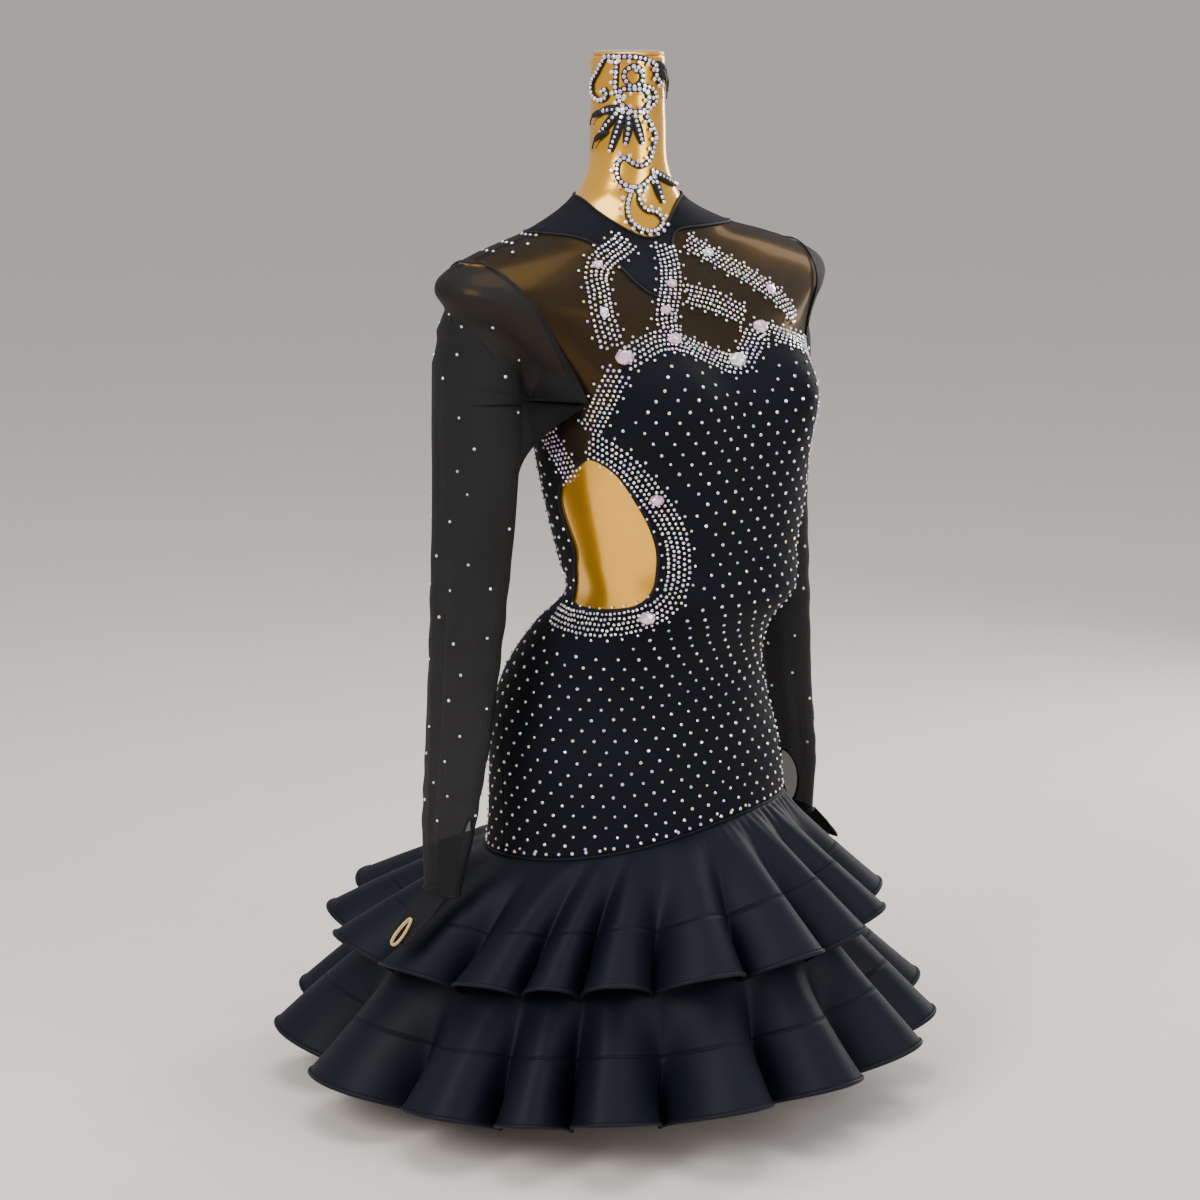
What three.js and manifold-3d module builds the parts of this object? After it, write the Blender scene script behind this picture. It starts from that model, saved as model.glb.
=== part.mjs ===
// A long-sleeved dance and cheer dress with a sheer jewelled yoke, a waist cutout and two stiff flounces,
// worn by the headless display form that gives it its shape.
// Millimetres, +Z up. The origin is the centre of the stand flange's underside.
// The form faces -Y, its right side is -X and its left side is +X.
import * as THREE from "three";
import { mergeVertices } from "three/addons/utils/BufferGeometryUtils.js";
import Module from "manifold-3d";

const wasm = await Module();
wasm.setup();

// ---------------------------------------------------------------- driving dimensions
// Levels above the stand flange.
const FLANGE_THICKNESS = 8;
const BASE_PLATE_THICKNESS = 6;
const HIP_LEVEL = 110;
const WAIST_LEVEL = 322;
const BUST_LEVEL = 524;
const ARMPIT_LEVEL = 512;
const SHOULDER_LEVEL = 614;
const NECK_BASE_LEVEL = 686;
const NECK_TOP_LEVEL = 821;

// Half widths (along X) and half depths (along Y) of the form.
const HIP_HALF_WIDTH = 152;
const HIP_HALF_DEPTH = 115;
const WAIST_HALF_WIDTH = 114;
const WAIST_HALF_DEPTH = 91;
const CHEST_HALF_WIDTH = 138;
const CHEST_HALF_DEPTH = 112;
const SHOULDER_HALF_WIDTH = 225;
const SHOULDER_HALF_DEPTH = 80;
const NECK_RADIUS = 35;
const BREAST_SPACING = 76;
const BREAST_DEPTH = 29;
const BREAST_SPREAD = 36;
const SECTION_POWER = 2.25;
const FORM_COLUMNS = 24;

// Fabric layers, as offsets from the form.
const CLEARANCE = 0.35;
const SKIN_GAP = 0.6;
const FABRIC_THICKNESS = 0.9;
const SEAM_GAP = 0.4;
const CRYSTAL_BAND_WIDTH = 24;
const CRYSTAL_BAND_THICKNESS = 0.8;
const BINDING_WIDTH = 3.2;

// Seams of the fitted part.
const HIP_SEAM_MEAN_LEVEL = 88;
const HIP_SEAM_TILT = 21;
const HIP_SEAM_HIGH_SIDE = -50;
const COLLAR_TOP_LEVEL = 692;
const COLLAR_FRONT_DIP = 37;
const COLLAR_BASE_LEVEL = 662;
const COLLAR_POINT_DROP = 56;

// Sleeves.
const SHOULDER_SEAM_HALF_WIDTH = 192;
const SHOULDER_SEAM_LEVEL = 640;
const SLEEVE_WALL = 0.9;
const SLEEVE_PIVOT_LEVEL = 500;
const SLEEVE_WRIST_LEVEL = 52;
const SLEEVE_RUNNING_GAP = 0.9;
const HAND_POINT_LENGTH = 58;
const FINGER_LOOP_LENGTH = 30;
const FINGER_LOOP_WIDTH = 13;
const ELASTIC_RADIUS = 1.3;
const SLEEVE_COLUMNS = 16;

// Flounces.
const UPPER_HEM_RADIUS = 268;
const UPPER_HEM_LEVEL = -22;
const LOWER_HEM_RADIUS = 318;
const LOWER_HEM_LEVEL = -138;
const HEM_CENTRE_SHIFT = 30;
const UNDERSKIRT_HEM_LEVEL = -6;
const UNDERSKIRT_HEM_RADIUS = 204;
const UPPER_FLUTE_HEIGHT = 17;
const LOWER_FLUTE_HEIGHT = 20;
const HEM_BAND_SHARE = 0.4;
const FLOUNCE_THICKNESS = 1.2;
const HEM_BAND_THICKNESS = 1.8;
const FLOUNCE_COLUMNS = 54;

// Zip fastener.
const ZIP_BOTTOM_LEVEL = 346;
const ZIP_TOP_LEVEL = 520;
const ZIP_CHAIN_WIDTH = 5.6;
const ZIP_CHAIN_THICKNESS = 1.8;
const SLIDER_LENGTH = 11;
const SLIDER_WIDTH = 8.4;
const SLIDER_PLATE = 1.6;
const PULL_LENGTH = 21;
const PULL_WIDTH = 3.8;
const PULL_THICKNESS = 1.2;
const PIN_RADIUS = 0.6;
const PIN_CLEARANCE = 0.4;
const PULL_EYE_WALL = 0.8;

// Small hardware.
const NECK_CAP_THICKNESS = 4;
const SCREW_HEAD_RADIUS = 5;
const SCREW_HEAD_HEIGHT = 2.4;
const SCREW_CIRCLE_SHARE = 0.62;
const FLANGE_RADIUS = 36;
const STONE_HEIGHT = 4;
const LACE_THICKNESS = 1.6;
const BALL_REACH = 20;
const KEYHOLE_HALF_WIDTH = 9;
const KEYHOLE_HALF_HEIGHT = 27;
const HAND_POINT_SLOPE = 46;

// ---------------------------------------------------------------- materials
const finishes = {
  gold: { color: 0xc08a24, roughness: 0.22, metalness: 0.9 },
  mesh: { color: 0x1a1512, roughness: 0.85, metalness: 0 },
  jersey: { color: 0x0d1016, roughness: 0.75, metalness: 0 },
  satin: { color: 0x11151d, roughness: 0.5, metalness: 0 },
  crystal: { color: 0xe6e2ef, roughness: 0.08, metalness: 0.1 },
  elastic: { color: 0xd9b36a, roughness: 0.6, metalness: 0 },
  zip: { color: 0x17181c, roughness: 0.4, metalness: 0.2 },
  steel: { color: 0x9a9ca3, roughness: 0.35, metalness: 0.9 },
};

const dress = new THREE.Group();

function addNode(name, geometry, finish) {
  const mesh = new THREE.Mesh(geometry, new THREE.MeshStandardMaterial(finishes[finish]));
  mesh.name = name;
  dress.add(mesh);
  return mesh;
}

// ---------------------------------------------------------------- solids and booleans
function toSolid(geometry) {
  const bare = geometry.clone();
  bare.deleteAttribute("normal");
  bare.deleteAttribute("uv");
  const merged = mergeVertices(bare, 1e-4);
  const mesh = new wasm.Mesh({
    numProp: 3,
    vertProperties: new Float32Array(merged.attributes.position.array),
    triVerts: new Uint32Array(merged.index.array),
  });
  return new wasm.Manifold(mesh);
}

function toGeometry(solid) {
  const mesh = solid.getMesh();
  const geometry = new THREE.BufferGeometry();
  geometry.setAttribute("position", new THREE.BufferAttribute(new Float32Array(mesh.vertProperties), 3));
  geometry.setIndex(new THREE.BufferAttribute(new Uint32Array(mesh.triVerts), 1));
  return geometry;
}

function largestBody(solid) {
  return solid.decompose().sort((a, b) => b.volume() - a.volume())[0];
}

function unite(solids) {
  return solids.reduce((sum, solid) => sum.add(solid));
}

// Skins rings of points into a closed body: rings run one way round, and the first and last are capped
// unless the stack closes on itself. From the ring turnAt on, faces are split along their other diagonal,
// so that the inside of a wall has the same facets as its outside.
function skinRings(rings, closedStack = false, turnAt = Infinity) {
  const count = rings[0].length;
  const positions = rings.flat().flatMap((point) => [point.x, point.y, point.z]);
  const index = [];
  const stackSteps = closedStack ? rings.length : rings.length - 1;
  for (let i = 0; i < stackSteps; i += 1) {
    const low = i * count;
    const high = ((i + 1) % rings.length) * count;
    for (let j = 0; j < count; j += 1) {
      const next = (j + 1) % count;
      if (i < turnAt) index.push(low + j, low + next, high + next, low + j, high + next, high + j);
      else index.push(low + j, low + next, high + j, low + next, high + next, high + j);
    }
  }
  if (!closedStack) {
    for (const [ring, flip] of [[rings[0], true], [rings[rings.length - 1], false]]) {
      const start = flip ? 0 : (rings.length - 1) * count;
      const middle = ring.reduce((sum, point) => sum.add(point), new THREE.Vector3()).divideScalar(count);
      const hub = positions.length / 3;
      positions.push(middle.x, middle.y, middle.z);
      for (let j = 0; j < count; j += 1) {
        const next = (j + 1) % count;
        index.push(hub, start + (flip ? next : j), start + (flip ? j : next));
      }
    }
  }
  const geometry = new THREE.BufferGeometry();
  geometry.setAttribute("position", new THREE.Float32BufferAttribute(positions, 3));
  geometry.setIndex(index);
  return geometry;
}

// The same, with the rings turned round where they run the wrong way.
function orientedSolid(rings, closedStack, turnAt) {
  const solid = toSolid(skinRings(rings, closedStack, turnAt));
  if (solid.volume() > 0) return solid;
  return toSolid(skinRings(rings.map((ring) => [...ring].reverse()), closedStack, turnAt));
}

function block(x0, x1, y0, y1, z0, z1) {
  const geometry = new THREE.BoxGeometry(x1 - x0, y1 - y0, z1 - z0);
  geometry.translate((x0 + x1) / 2, (y0 + y1) / 2, (z0 + z1) / 2);
  return geometry;
}

function smoothStep(value) {
  const t = Math.min(1, Math.max(0, value));
  return t * t * (3 - 2 * t);
}

function radians(degrees) {
  return THREE.MathUtils.degToRad(degrees);
}

// ---------------------------------------------------------------- the display form
// Sections from the base to the neck: level, half width, half depth and the section's centre.
// The ribcage leans forward over hips that sit further back.
const baseLevel = FLANGE_THICKNESS + BASE_PLATE_THICKNESS + 2 * CLEARANCE;
const hipToWaist = WAIST_LEVEL - HIP_LEVEL;
const waistToChest = ARMPIT_LEVEL - WAIST_LEVEL;
const armpitToShoulder = SHOULDER_LEVEL - ARMPIT_LEVEL;
const shoulderToNeck = NECK_BASE_LEVEL - SHOULDER_LEVEL;
const BACK_LINE_LEAN = 0.235;

function mix(from, to, share) {
  return from + (to - from) * share;
}

// The back runs straight from waist to armpit, which lets the zip slide, so the depth sets the centre there.
function backLine(level) {
  return WAIST_HALF_DEPTH - 66 + BACK_LINE_LEAN * (level - WAIST_LEVEL);
}

function section(level, halfWidth, halfDepth, shiftX, shiftY) {
  return { level, halfWidth, halfDepth, shiftX, shiftY };
}

function backedSection(share, widthShare, depthShare) {
  const level = WAIST_LEVEL + waistToChest * share;
  const halfDepth = mix(WAIST_HALF_DEPTH, CHEST_HALF_DEPTH, depthShare);
  const halfWidth = mix(WAIST_HALF_WIDTH, CHEST_HALF_WIDTH, widthShare);
  return section(level, halfWidth, halfDepth, 11, backLine(level) - halfDepth);
}

function hipSection(share, widthShare, depthShare, shiftX, shiftY) {
  const halfWidth = mix(HIP_HALF_WIDTH, WAIST_HALF_WIDTH, widthShare);
  const halfDepth = mix(HIP_HALF_DEPTH, WAIST_HALF_DEPTH, depthShare);
  return section(HIP_LEVEL + hipToWaist * share, halfWidth, halfDepth, shiftX, shiftY);
}

function bulbSection(share, widthShare, depthShare, shiftX, shiftY) {
  const halfWidth = mix(CHEST_HALF_WIDTH, SHOULDER_HALF_WIDTH, widthShare);
  const halfDepth = mix(CHEST_HALF_DEPTH, SHOULDER_HALF_DEPTH, depthShare);
  return section(ARMPIT_LEVEL + armpitToShoulder * share, halfWidth, halfDepth, shiftX, shiftY);
}

function slopeSection(share, widthShare, depthShare, shiftY) {
  const halfWidth = mix(SHOULDER_HALF_WIDTH, NECK_RADIUS + 25, widthShare);
  const halfDepth = mix(SHOULDER_HALF_DEPTH, NECK_RADIUS + 8, depthShare);
  return section(SHOULDER_LEVEL + shoulderToNeck * share, halfWidth, halfDepth, 0, shiftY);
}

const formSections = [
  section(baseLevel, HIP_HALF_WIDTH - 3, HIP_HALF_DEPTH - 4, 0, -14),
  section(mix(baseLevel, HIP_LEVEL, 0.45), HIP_HALF_WIDTH + 1, HIP_HALF_DEPTH, 0, -14),
  hipSection(0, 0, 0, 1, -14),
  hipSection(0.236, 0.08, 0.13, 0, -12),
  hipSection(0.448, 0.29, 0.34, 0, -6),
  hipSection(0.637, 0.58, 0.66, 0, -12),
  hipSection(0.825, 0.87, 0.88, 3, -34),
  backedSection(0, 0, 0),
  backedSection(0.2, 0.21, 0.16),
  backedSection(0.41, 0.54, 0.5),
  backedSection(0.62, 0.79, 0.76),
  backedSection(0.82, 0.92, 0.95),
  section(ARMPIT_LEVEL, CHEST_HALF_WIDTH, CHEST_HALF_DEPTH, 9, -42),
  bulbSection(0.23, 0.16, 0.16, 5, -34),
  bulbSection(0.47, 0.41, 0.42, 2, -26),
  bulbSection(0.69, 0.67, 0.61, 0, -20),
  bulbSection(0.87, 0.9, 0.77, 0, -16),
  slopeSection(0, 0, 0, -13),
  slopeSection(0.18, 0.036, 0.22, -10),
  slopeSection(0.33, 0.16, 0.43, -8),
  slopeSection(0.47, 0.345, 0.6, -6),
  slopeSection(0.61, 0.588, 0.76, -4),
  slopeSection(0.78, 0.806, 0.86, -2),
  section(NECK_BASE_LEVEL, NECK_RADIUS + 25, NECK_RADIUS + 8, 0, 0),
  section(NECK_BASE_LEVEL + 24, NECK_RADIUS + 6, NECK_RADIUS + 3, 0, 0),
  section(mix(NECK_BASE_LEVEL, NECK_TOP_LEVEL, 0.55), NECK_RADIUS, NECK_RADIUS - 1, 0, 0),
  section(NECK_TOP_LEVEL, NECK_RADIUS - 1, NECK_RADIUS - 2, 0, 0),
];
const sectionKeys = ["level", "halfWidth", "halfDepth", "shiftX", "shiftY"];

function sectionSlope(i, key) {
  const here = formSections[i];
  const below = formSections[Math.max(0, i - 1)];
  const above = formSections[Math.min(formSections.length - 1, i + 1)];
  const downRun = here.level - below.level;
  const upRun = above.level - here.level;
  if (downRun === 0) return (above[key] - here[key]) / upRun;
  if (upRun === 0) return (here[key] - below[key]) / downRun;
  const downSlope = (here[key] - below[key]) / downRun;
  const upSlope = (above[key] - here[key]) / upRun;
  return (downSlope * upRun + upSlope * downRun) / (downRun + upRun);
}

// Cubic interpolation between sections.
function sectionAt(level) {
  const last = formSections.length - 2;
  let i = 0;
  while (i < last && formSections[i + 1].level < level) i += 1;
  const run = formSections[i + 1].level - formSections[i].level;
  const t = Math.min(1, Math.max(0, (level - formSections[i].level) / run));
  const result = {};
  for (const key of sectionKeys) {
    result[key] =
      (2 * t ** 3 - 3 * t ** 2 + 1) * formSections[i][key] +
      (t ** 3 - 2 * t ** 2 + t) * run * sectionSlope(i, key) +
      (3 * t ** 2 - 2 * t ** 3) * formSections[i + 1][key] +
      (t ** 3 - t ** 2) * run * sectionSlope(i + 1, key);
  }
  return result;
}

// A point of the form's skin. Angle 0 is +X, -90 degrees is the front.
function skinPoint(angle, level) {
  const at = sectionAt(level);
  const across = Math.cos(angle);
  const along = Math.sin(angle);
  const radius =
    (Math.abs(across / at.halfWidth) ** SECTION_POWER + Math.abs(along / at.halfDepth) ** SECTION_POWER) **
    (-1 / SECTION_POWER);
  const x = radius * across;
  let y = radius * along;
  for (const side of [-1, 1]) {
    const distance = (x - side * BREAST_SPACING) ** 2 + (level - BUST_LEVEL) ** 2;
    y -= BREAST_DEPTH * Math.exp(-distance / (2 * BREAST_SPREAD ** 2)) * Math.min(1, Math.max(0, -1.5 * along));
  }
  return new THREE.Vector3(at.shiftX + x, at.shiftY + y, level);
}

function skinNormal(angle, level) {
  const turn = 0.02;
  const rise = 1;
  const low = Math.max(baseLevel, level - rise);
  const high = Math.min(NECK_TOP_LEVEL, level + rise);
  const around = skinPoint(angle + turn, level).sub(skinPoint(angle - turn, level));
  const up = skinPoint(angle, high).sub(skinPoint(angle, low));
  return around.cross(up).normalize();
}

function skinOffset(angle, level, offset) {
  return skinPoint(angle, level).addScaledVector(skinNormal(angle, level), offset);
}

const formLevels = formSections.map((each) => each.level);

function skinRing(level, offset) {
  const ring = [];
  for (let i = 0; i < FORM_COLUMNS; i += 1) {
    ring.push(skinOffset((2 * Math.PI * i) / FORM_COLUMNS, level, offset));
  }
  return ring;
}

function formSolid(offset, levels = formLevels) {
  return toSolid(skinRings(levels.map((level) => skinRing(level, offset))));
}

// A point on the flat facets of the form at an offset, so that trims sit on cloth with those facets.
const ringStore = new Map();

function storedRing(index, offset) {
  const key = `${index} ${offset}`;
  if (!ringStore.has(key)) ringStore.set(key, skinRing(formLevels[index], offset));
  return ringStore.get(key);
}

function facetOffset(degrees, level, offset) {
  const turn = ((((degrees % 360) + 360) % 360) / 360) * FORM_COLUMNS;
  const column = Math.floor(turn);
  const across = turn - column;
  let row = 0;
  while (row < formLevels.length - 2 && formLevels[row + 1] < level) row += 1;
  const up = Math.min(1, (level - formLevels[row]) / (formLevels[row + 1] - formLevels[row]));
  const [low, high] = [storedRing(row, offset), storedRing(row + 1, offset)];
  const next = (column + 1) % FORM_COLUMNS;
  const point = low[column].clone();
  if (across >= up) {
    point.addScaledVector(low[next].clone().sub(low[column]), across);
    return point.addScaledVector(high[next].clone().sub(low[next]), up);
  }
  point.addScaledVector(high[column].clone().sub(low[column]), up);
  return point.addScaledVector(high[next].clone().sub(high[column]), across);
}

// A layer of cloth that wraps the form between two offsets, over a run of its levels.
function layer(innerOffset, outerOffset, lowest, highest) {
  const levels = formLevels.filter((level) => level > lowest && level < highest);
  const outer = levels.map((level) => skinRing(level, outerOffset));
  const inner = levels.map((level) => skinRing(level, innerOffset)).reverse();
  return toSolid(skinRings([...outer, ...inner], true, levels.length));
}

addNode("form_torso", toGeometry(formSolid(0)), "gold");

const capRing = [];
for (let i = 0; i < FORM_COLUMNS; i += 1) {
  capRing.push(skinPoint((2 * Math.PI * i) / FORM_COLUMNS, NECK_TOP_LEVEL));
}

function plateFromRing(ring, bottom, top, share) {
  const middle = ring.reduce((sum, point) => sum.add(point), new THREE.Vector3()).divideScalar(ring.length);
  const place = (point, level) =>
    new THREE.Vector3(mix(middle.x, point.x, share), mix(middle.y, point.y, share), level);
  return skinRings([bottom, top].map((level) => ring.map((point) => place(point, level))));
}

const capBottom = NECK_TOP_LEVEL + CLEARANCE;
addNode("form_neck_cap", plateFromRing(capRing, capBottom, capBottom + NECK_CAP_THICKNESS, 0.94), "gold");

const basePlateBottom = FLANGE_THICKNESS + CLEARANCE;
const baseRing = capRing.map((_, i) => skinPoint((2 * Math.PI * i) / FORM_COLUMNS, baseLevel));
const basePlate = plateFromRing(baseRing, basePlateBottom, basePlateBottom + BASE_PLATE_THICKNESS, 0.97);
addNode("form_base_plate", basePlate, "gold");

const flange = new THREE.CylinderGeometry(FLANGE_RADIUS, FLANGE_RADIUS, FLANGE_THICKNESS, 32);
flange.rotateX(Math.PI / 2);
flange.translate(0, 0, FLANGE_THICKNESS / 2);
addNode("stand_flange", flange, "steel");

const SCREW_COUNT = 3;
for (let i = 0; i < SCREW_COUNT; i += 1) {
  const angle = (2 * Math.PI * (i + 0.25)) / SCREW_COUNT;
  const seat = skinPoint(angle, baseLevel);
  const head = new THREE.CylinderGeometry(SCREW_HEAD_RADIUS, SCREW_HEAD_RADIUS * 0.7, SCREW_HEAD_HEIGHT, 12);
  head.rotateX(Math.PI / 2);
  const level = basePlateBottom - CLEARANCE - SCREW_HEAD_HEIGHT / 2;
  head.translate(seat.x * SCREW_CIRCLE_SHARE, seat.y * SCREW_CIRCLE_SHARE, level);
  addNode(`base_screw_${i + 1}`, head, "steel");
}

// ---------------------------------------------------------------- seams on the form
// A seam is a list of [angle in degrees, level]. A ribbon is a wall of given width that follows it.
function smoothSeam(stops, steps, closed = false) {
  const curve = new THREE.CatmullRomCurve3(
    stops.map(([angle, level]) => new THREE.Vector3(angle, level, 0)),
    closed,
  );
  const count = closed ? steps : steps + 1;
  const seam = [];
  for (let i = 0; i < count; i += 1) {
    const at = curve.getPoint(i / steps);
    seam.push([at.x, at.y]);
  }
  return seam;
}

// A seam that falls straight down the form turns only where the form's rows of facets meet and half way.
function fallingSeam(stops) {
  const [first, last] = [stops[0][1], stops[stops.length - 1][1]].sort((a, b) => a - b);
  const levels = [first, last];
  for (let i = 0; i < formLevels.length - 1; i += 1) levels.push(formLevels[i], mix(formLevels[i], formLevels[i + 1], 0.5));
  const rising = [...stops].sort((a, b) => a[1] - b[1]);
  return levels
    .filter((level) => level >= first && level <= last)
    .sort((a, b) => a - b)
    .map((level) => {
      let i = 0;
      while (i < rising.length - 2 && rising[i + 1][1] < level) i += 1;
      const share = (level - rising[i][1]) / (rising[i + 1][1] - rising[i][1]);
      return [mix(rising[i][0], rising[i + 1][0], share), level];
    });
}

function ribbon(seam, width, closed = false, below = -1.8, above = 4) {
  const feet = seam.map(([angle, level]) => facetOffset(angle, level, below));
  const heads = seam.map(([angle, level]) => facetOffset(angle, level, above));
  const rings = feet.map((foot, i) => {
    const before = feet[closed ? (i + feet.length - 1) % feet.length : Math.max(0, i - 1)];
    const after = feet[closed ? (i + 1) % feet.length : Math.min(feet.length - 1, i + 1)];
    const up = heads[i].clone().sub(foot);
    const side = after.clone().sub(before).cross(up).normalize().multiplyScalar(width / 2);
    return [foot.clone().sub(side), foot.clone().add(side), heads[i].clone().add(side), heads[i].clone().sub(side)];
  });
  return orientedSolid(rings, closed);
}

// The [angle, level] of the skin nearest a point, starting from a guess.
function nearestOnSkin(point, guess) {
  let [angle, level] = guess;
  const turn = 0.5;
  const rise = 1;
  for (let i = 0; i < 4; i += 1) {
    const here = skinPoint(radians(angle), level);
    const around = skinPoint(radians(angle + turn), level).sub(here).divideScalar(turn);
    const up = skinPoint(radians(angle), level + rise).sub(here).divideScalar(rise);
    const miss = point.clone().sub(here);
    const [aa, ab, bb] = [around.dot(around), around.dot(up), up.dot(up)];
    const [ma, mb] = [miss.dot(around), miss.dot(up)];
    const scale = aa * bb - ab * ab;
    angle += (ma * bb - mb * ab) / scale;
    level += (mb * aa - ma * ab) / scale;
  }
  return [angle, level];
}

// A flat trim of the given width that lies on the form along a seam, between two offsets.
function trim(seam, width, innerOffset, outerOffset, closed = false, across = 3) {
  const points = seam.map(([angle, level]) => skinPoint(radians(angle), level));
  const rings = points.map((point, i) => {
    const before = points[closed ? (i + points.length - 1) % points.length : Math.max(0, i - 1)];
    const after = points[closed ? (i + 1) % points.length : Math.min(points.length - 1, i + 1)];
    const normal = skinNormal(radians(seam[i][0]), seam[i][1]);
    const side = after.clone().sub(before).cross(normal).normalize();
    const inner = [];
    const outer = [];
    for (let j = 0; j <= across; j += 1) {
      const target = point.clone().addScaledVector(side, width * (j / across - 0.5));
      const [angle, level] = nearestOnSkin(target, seam[i]);
      inner.push(facetOffset(angle, level, innerOffset));
      outer.unshift(facetOffset(angle, level, outerOffset));
    }
    return [...inner, ...outer];
  });
  return orientedSolid(rings, closed);
}

function bump(angle, centre, width) {
  const away = ((((angle - centre) % 360) + 540) % 360) - 180;
  return Math.exp(-((away / width) ** 2));
}

function hipSeamLevel(angle) {
  return HIP_SEAM_MEAN_LEVEL + HIP_SEAM_TILT * Math.cos(radians(angle - HIP_SEAM_HIGH_SIDE));
}

function collarBaseLevel(angle) {
  return COLLAR_BASE_LEVEL - COLLAR_POINT_DROP * bump(angle, -119, 24) - 14 * bump(angle, 90, 50);
}

function collarTopLevel(angle) {
  return COLLAR_TOP_LEVEL - COLLAR_FRONT_DIP * bump(angle, -112, 42);
}

function ringSeam(levelAt, steps = FORM_COLUMNS) {
  const seam = [];
  for (let i = 0; i < steps; i += 1) {
    const angle = (360 * i) / steps;
    seam.push([angle, levelAt(angle)]);
  }
  return seam;
}

const hipSeam = ringSeam(hipSeamLevel);
const collarBase = ringSeam(collarBaseLevel, 2 * FORM_COLUMNS);
const collarTop = ringSeam(collarTopLevel);

const chestRise = ARMPIT_LEVEL - 512;
const waistRise = WAIST_LEVEL - 322;
const neckline = [
  [-143, 557], [-132, 570], [-120, 570], [-104, 556], [-86, 545], [-73, 558], [-61, 571], [-48, 562],
  [-30, 545], [-12, 530], [2, 524],
].map(([angle, level]) => [angle, level + chestRise]);
const sideBand = [
  [-143, 557], [-149, 533], [-157, 508], [-163, 486], [-164, 466],
].map(([angle, level]) => [angle, level + chestRise]);
const cutoutEdge = [
  [-164, 463], [-172, 454], [178, 434], [174, 413], [176, 390], [178, 370], [174, 350], [168, 330], [169, 318],
  [180, 316], [-164, 319], [-152, 326], [-143, 346], [-140, 372], [-142, 398], [-147, 424], [-154, 450],
].map(([angle, level]) => [angle > 0 ? angle - 360 : angle, level + waistRise]);
const cutoutLoop = smoothSeam(cutoutEdge, 36, true);
const underarmBand = [
  [-190, 490], [-183, 470], [-175, 444],
].map(([angle, level]) => [angle, level + chestRise]);
const backNeckline = [
  [-176, 446], [-189, 486], [-205, 528], [-230, 556], [-270, 566], [-310, 556], [-340, 534], [-360, 524], [-370, 524],
].map(([angle, level]) => [angle, level + chestRise]);
const rightSideSeam = [[-190, 322 + waistRise], [-188, 180], [-184, 40]];
const leftSideSeam = [[-4, 530 + chestRise], [-4, 400], [-2, 200], [-2, 40]];
const rightShoulderSeam = [[-180, 676], [-180, 632]];
const leftShoulderSeam = [[0, 676], [0, 632]];
const centreBack = [[90, 40], [90, 300], [90, 500], [90, 600], [90, 700]];
const rightSideMesh = [[-184, 524 + chestRise], [-190, 482 + chestRise]];

// ---------------------------------------------------------------- fitted panels
// The region beyond each leaning armhole plane, as a prism along Y.
const armpitX = (side) => side * sectionAt(ARMPIT_LEVEL).shiftX + CHEST_HALF_WIDTH - 4;

function beyondArmhole(side, inset, lowerX) {
  const foot = ARMPIT_LEVEL + (lowerX ? SEAM_GAP : 0);
  const top = SHOULDER_LEVEL + 100;
  const lean = (SHOULDER_SEAM_HALF_WIDTH - armpitX(side)) / (SHOULDER_SEAM_LEVEL - ARMPIT_LEVEL);
  const x = (level) => armpitX(side) + inset + lean * (level - ARMPIT_LEVEL);
  const outer = SHOULDER_HALF_WIDTH + 90;
  const outline = [[x(foot), foot], [x(top), top], [outer, top], [outer, lowerX ? 0 : foot]];
  if (lowerX) outline.push([lowerX, 0], [lowerX, foot]);
  const shape = new THREE.Shape(outline.map(([across, level]) => new THREE.Vector2(side * across, level)));
  const prism = new THREE.ExtrudeGeometry(shape, { depth: 600, bevelEnabled: false });
  prism.rotateX(Math.PI / 2);
  prism.translate(0, 300, 0);
  return toSolid(prism);
}

const clothOuter = SKIN_GAP + FABRIC_THICKNESS;
let cloth = layer(SKIN_GAP, clothOuter, baseLevel, NECK_TOP_LEVEL - 20);
const seamWalls = [
  ribbon(hipSeam, SEAM_GAP, true),
  ribbon(collarBase, 2 * SEAM_GAP, true),
  ribbon(collarTop, SEAM_GAP, true),
  ribbon(smoothSeam(neckline, 30), SEAM_GAP),
  ribbon(smoothSeam([...sideBand, [-160, 452 + waistRise]], 12), SEAM_GAP),
  ribbon(smoothSeam(backNeckline, 30), SEAM_GAP),
  ribbon(fallingSeam(rightSideSeam), SEAM_GAP),
  ribbon(fallingSeam(leftSideSeam), SEAM_GAP),
  ribbon(fallingSeam(rightShoulderSeam), SEAM_GAP),
  ribbon(fallingSeam(leftShoulderSeam), SEAM_GAP),
  ribbon(smoothSeam(rightSideMesh, 6), SEAM_GAP),
  ribbon(fallingSeam(centreBack), SEAM_GAP),
  ribbon(cutoutLoop, SEAM_GAP, true),
];
for (const wall of seamWalls) cloth = cloth.subtract(wall);
for (const side of [-1, 1]) cloth = cloth.subtract(beyondArmhole(side, -SEAM_GAP / 2));

// The zip's own frame: Z runs up the chain, Y points out of the back and the origin is at its lower end.
const zipLean = Math.atan(BACK_LINE_LEAN);
const zipFoot = new THREE.Vector3(sectionAt(ZIP_BOTTOM_LEVEL).shiftX, backLine(ZIP_BOTTOM_LEVEL), ZIP_BOTTOM_LEVEL);
const zipFrame = new THREE.Matrix4().makeRotationX(-zipLean).setPosition(zipFoot);
const zipLength = (ZIP_TOP_LEVEL - ZIP_BOTTOM_LEVEL) / Math.cos(zipLean);
const slotHalf = ZIP_CHAIN_WIDTH / 2 + CLEARANCE;
const zipSlot = block(-slotHalf, slotHalf, -6, 8, -4 - CLEARANCE, zipLength + 3 + CLEARANCE);
cloth = cloth.subtract(toSolid(zipSlot.applyMatrix4(zipFrame)));
const clothPieces = cloth.decompose();

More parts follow.
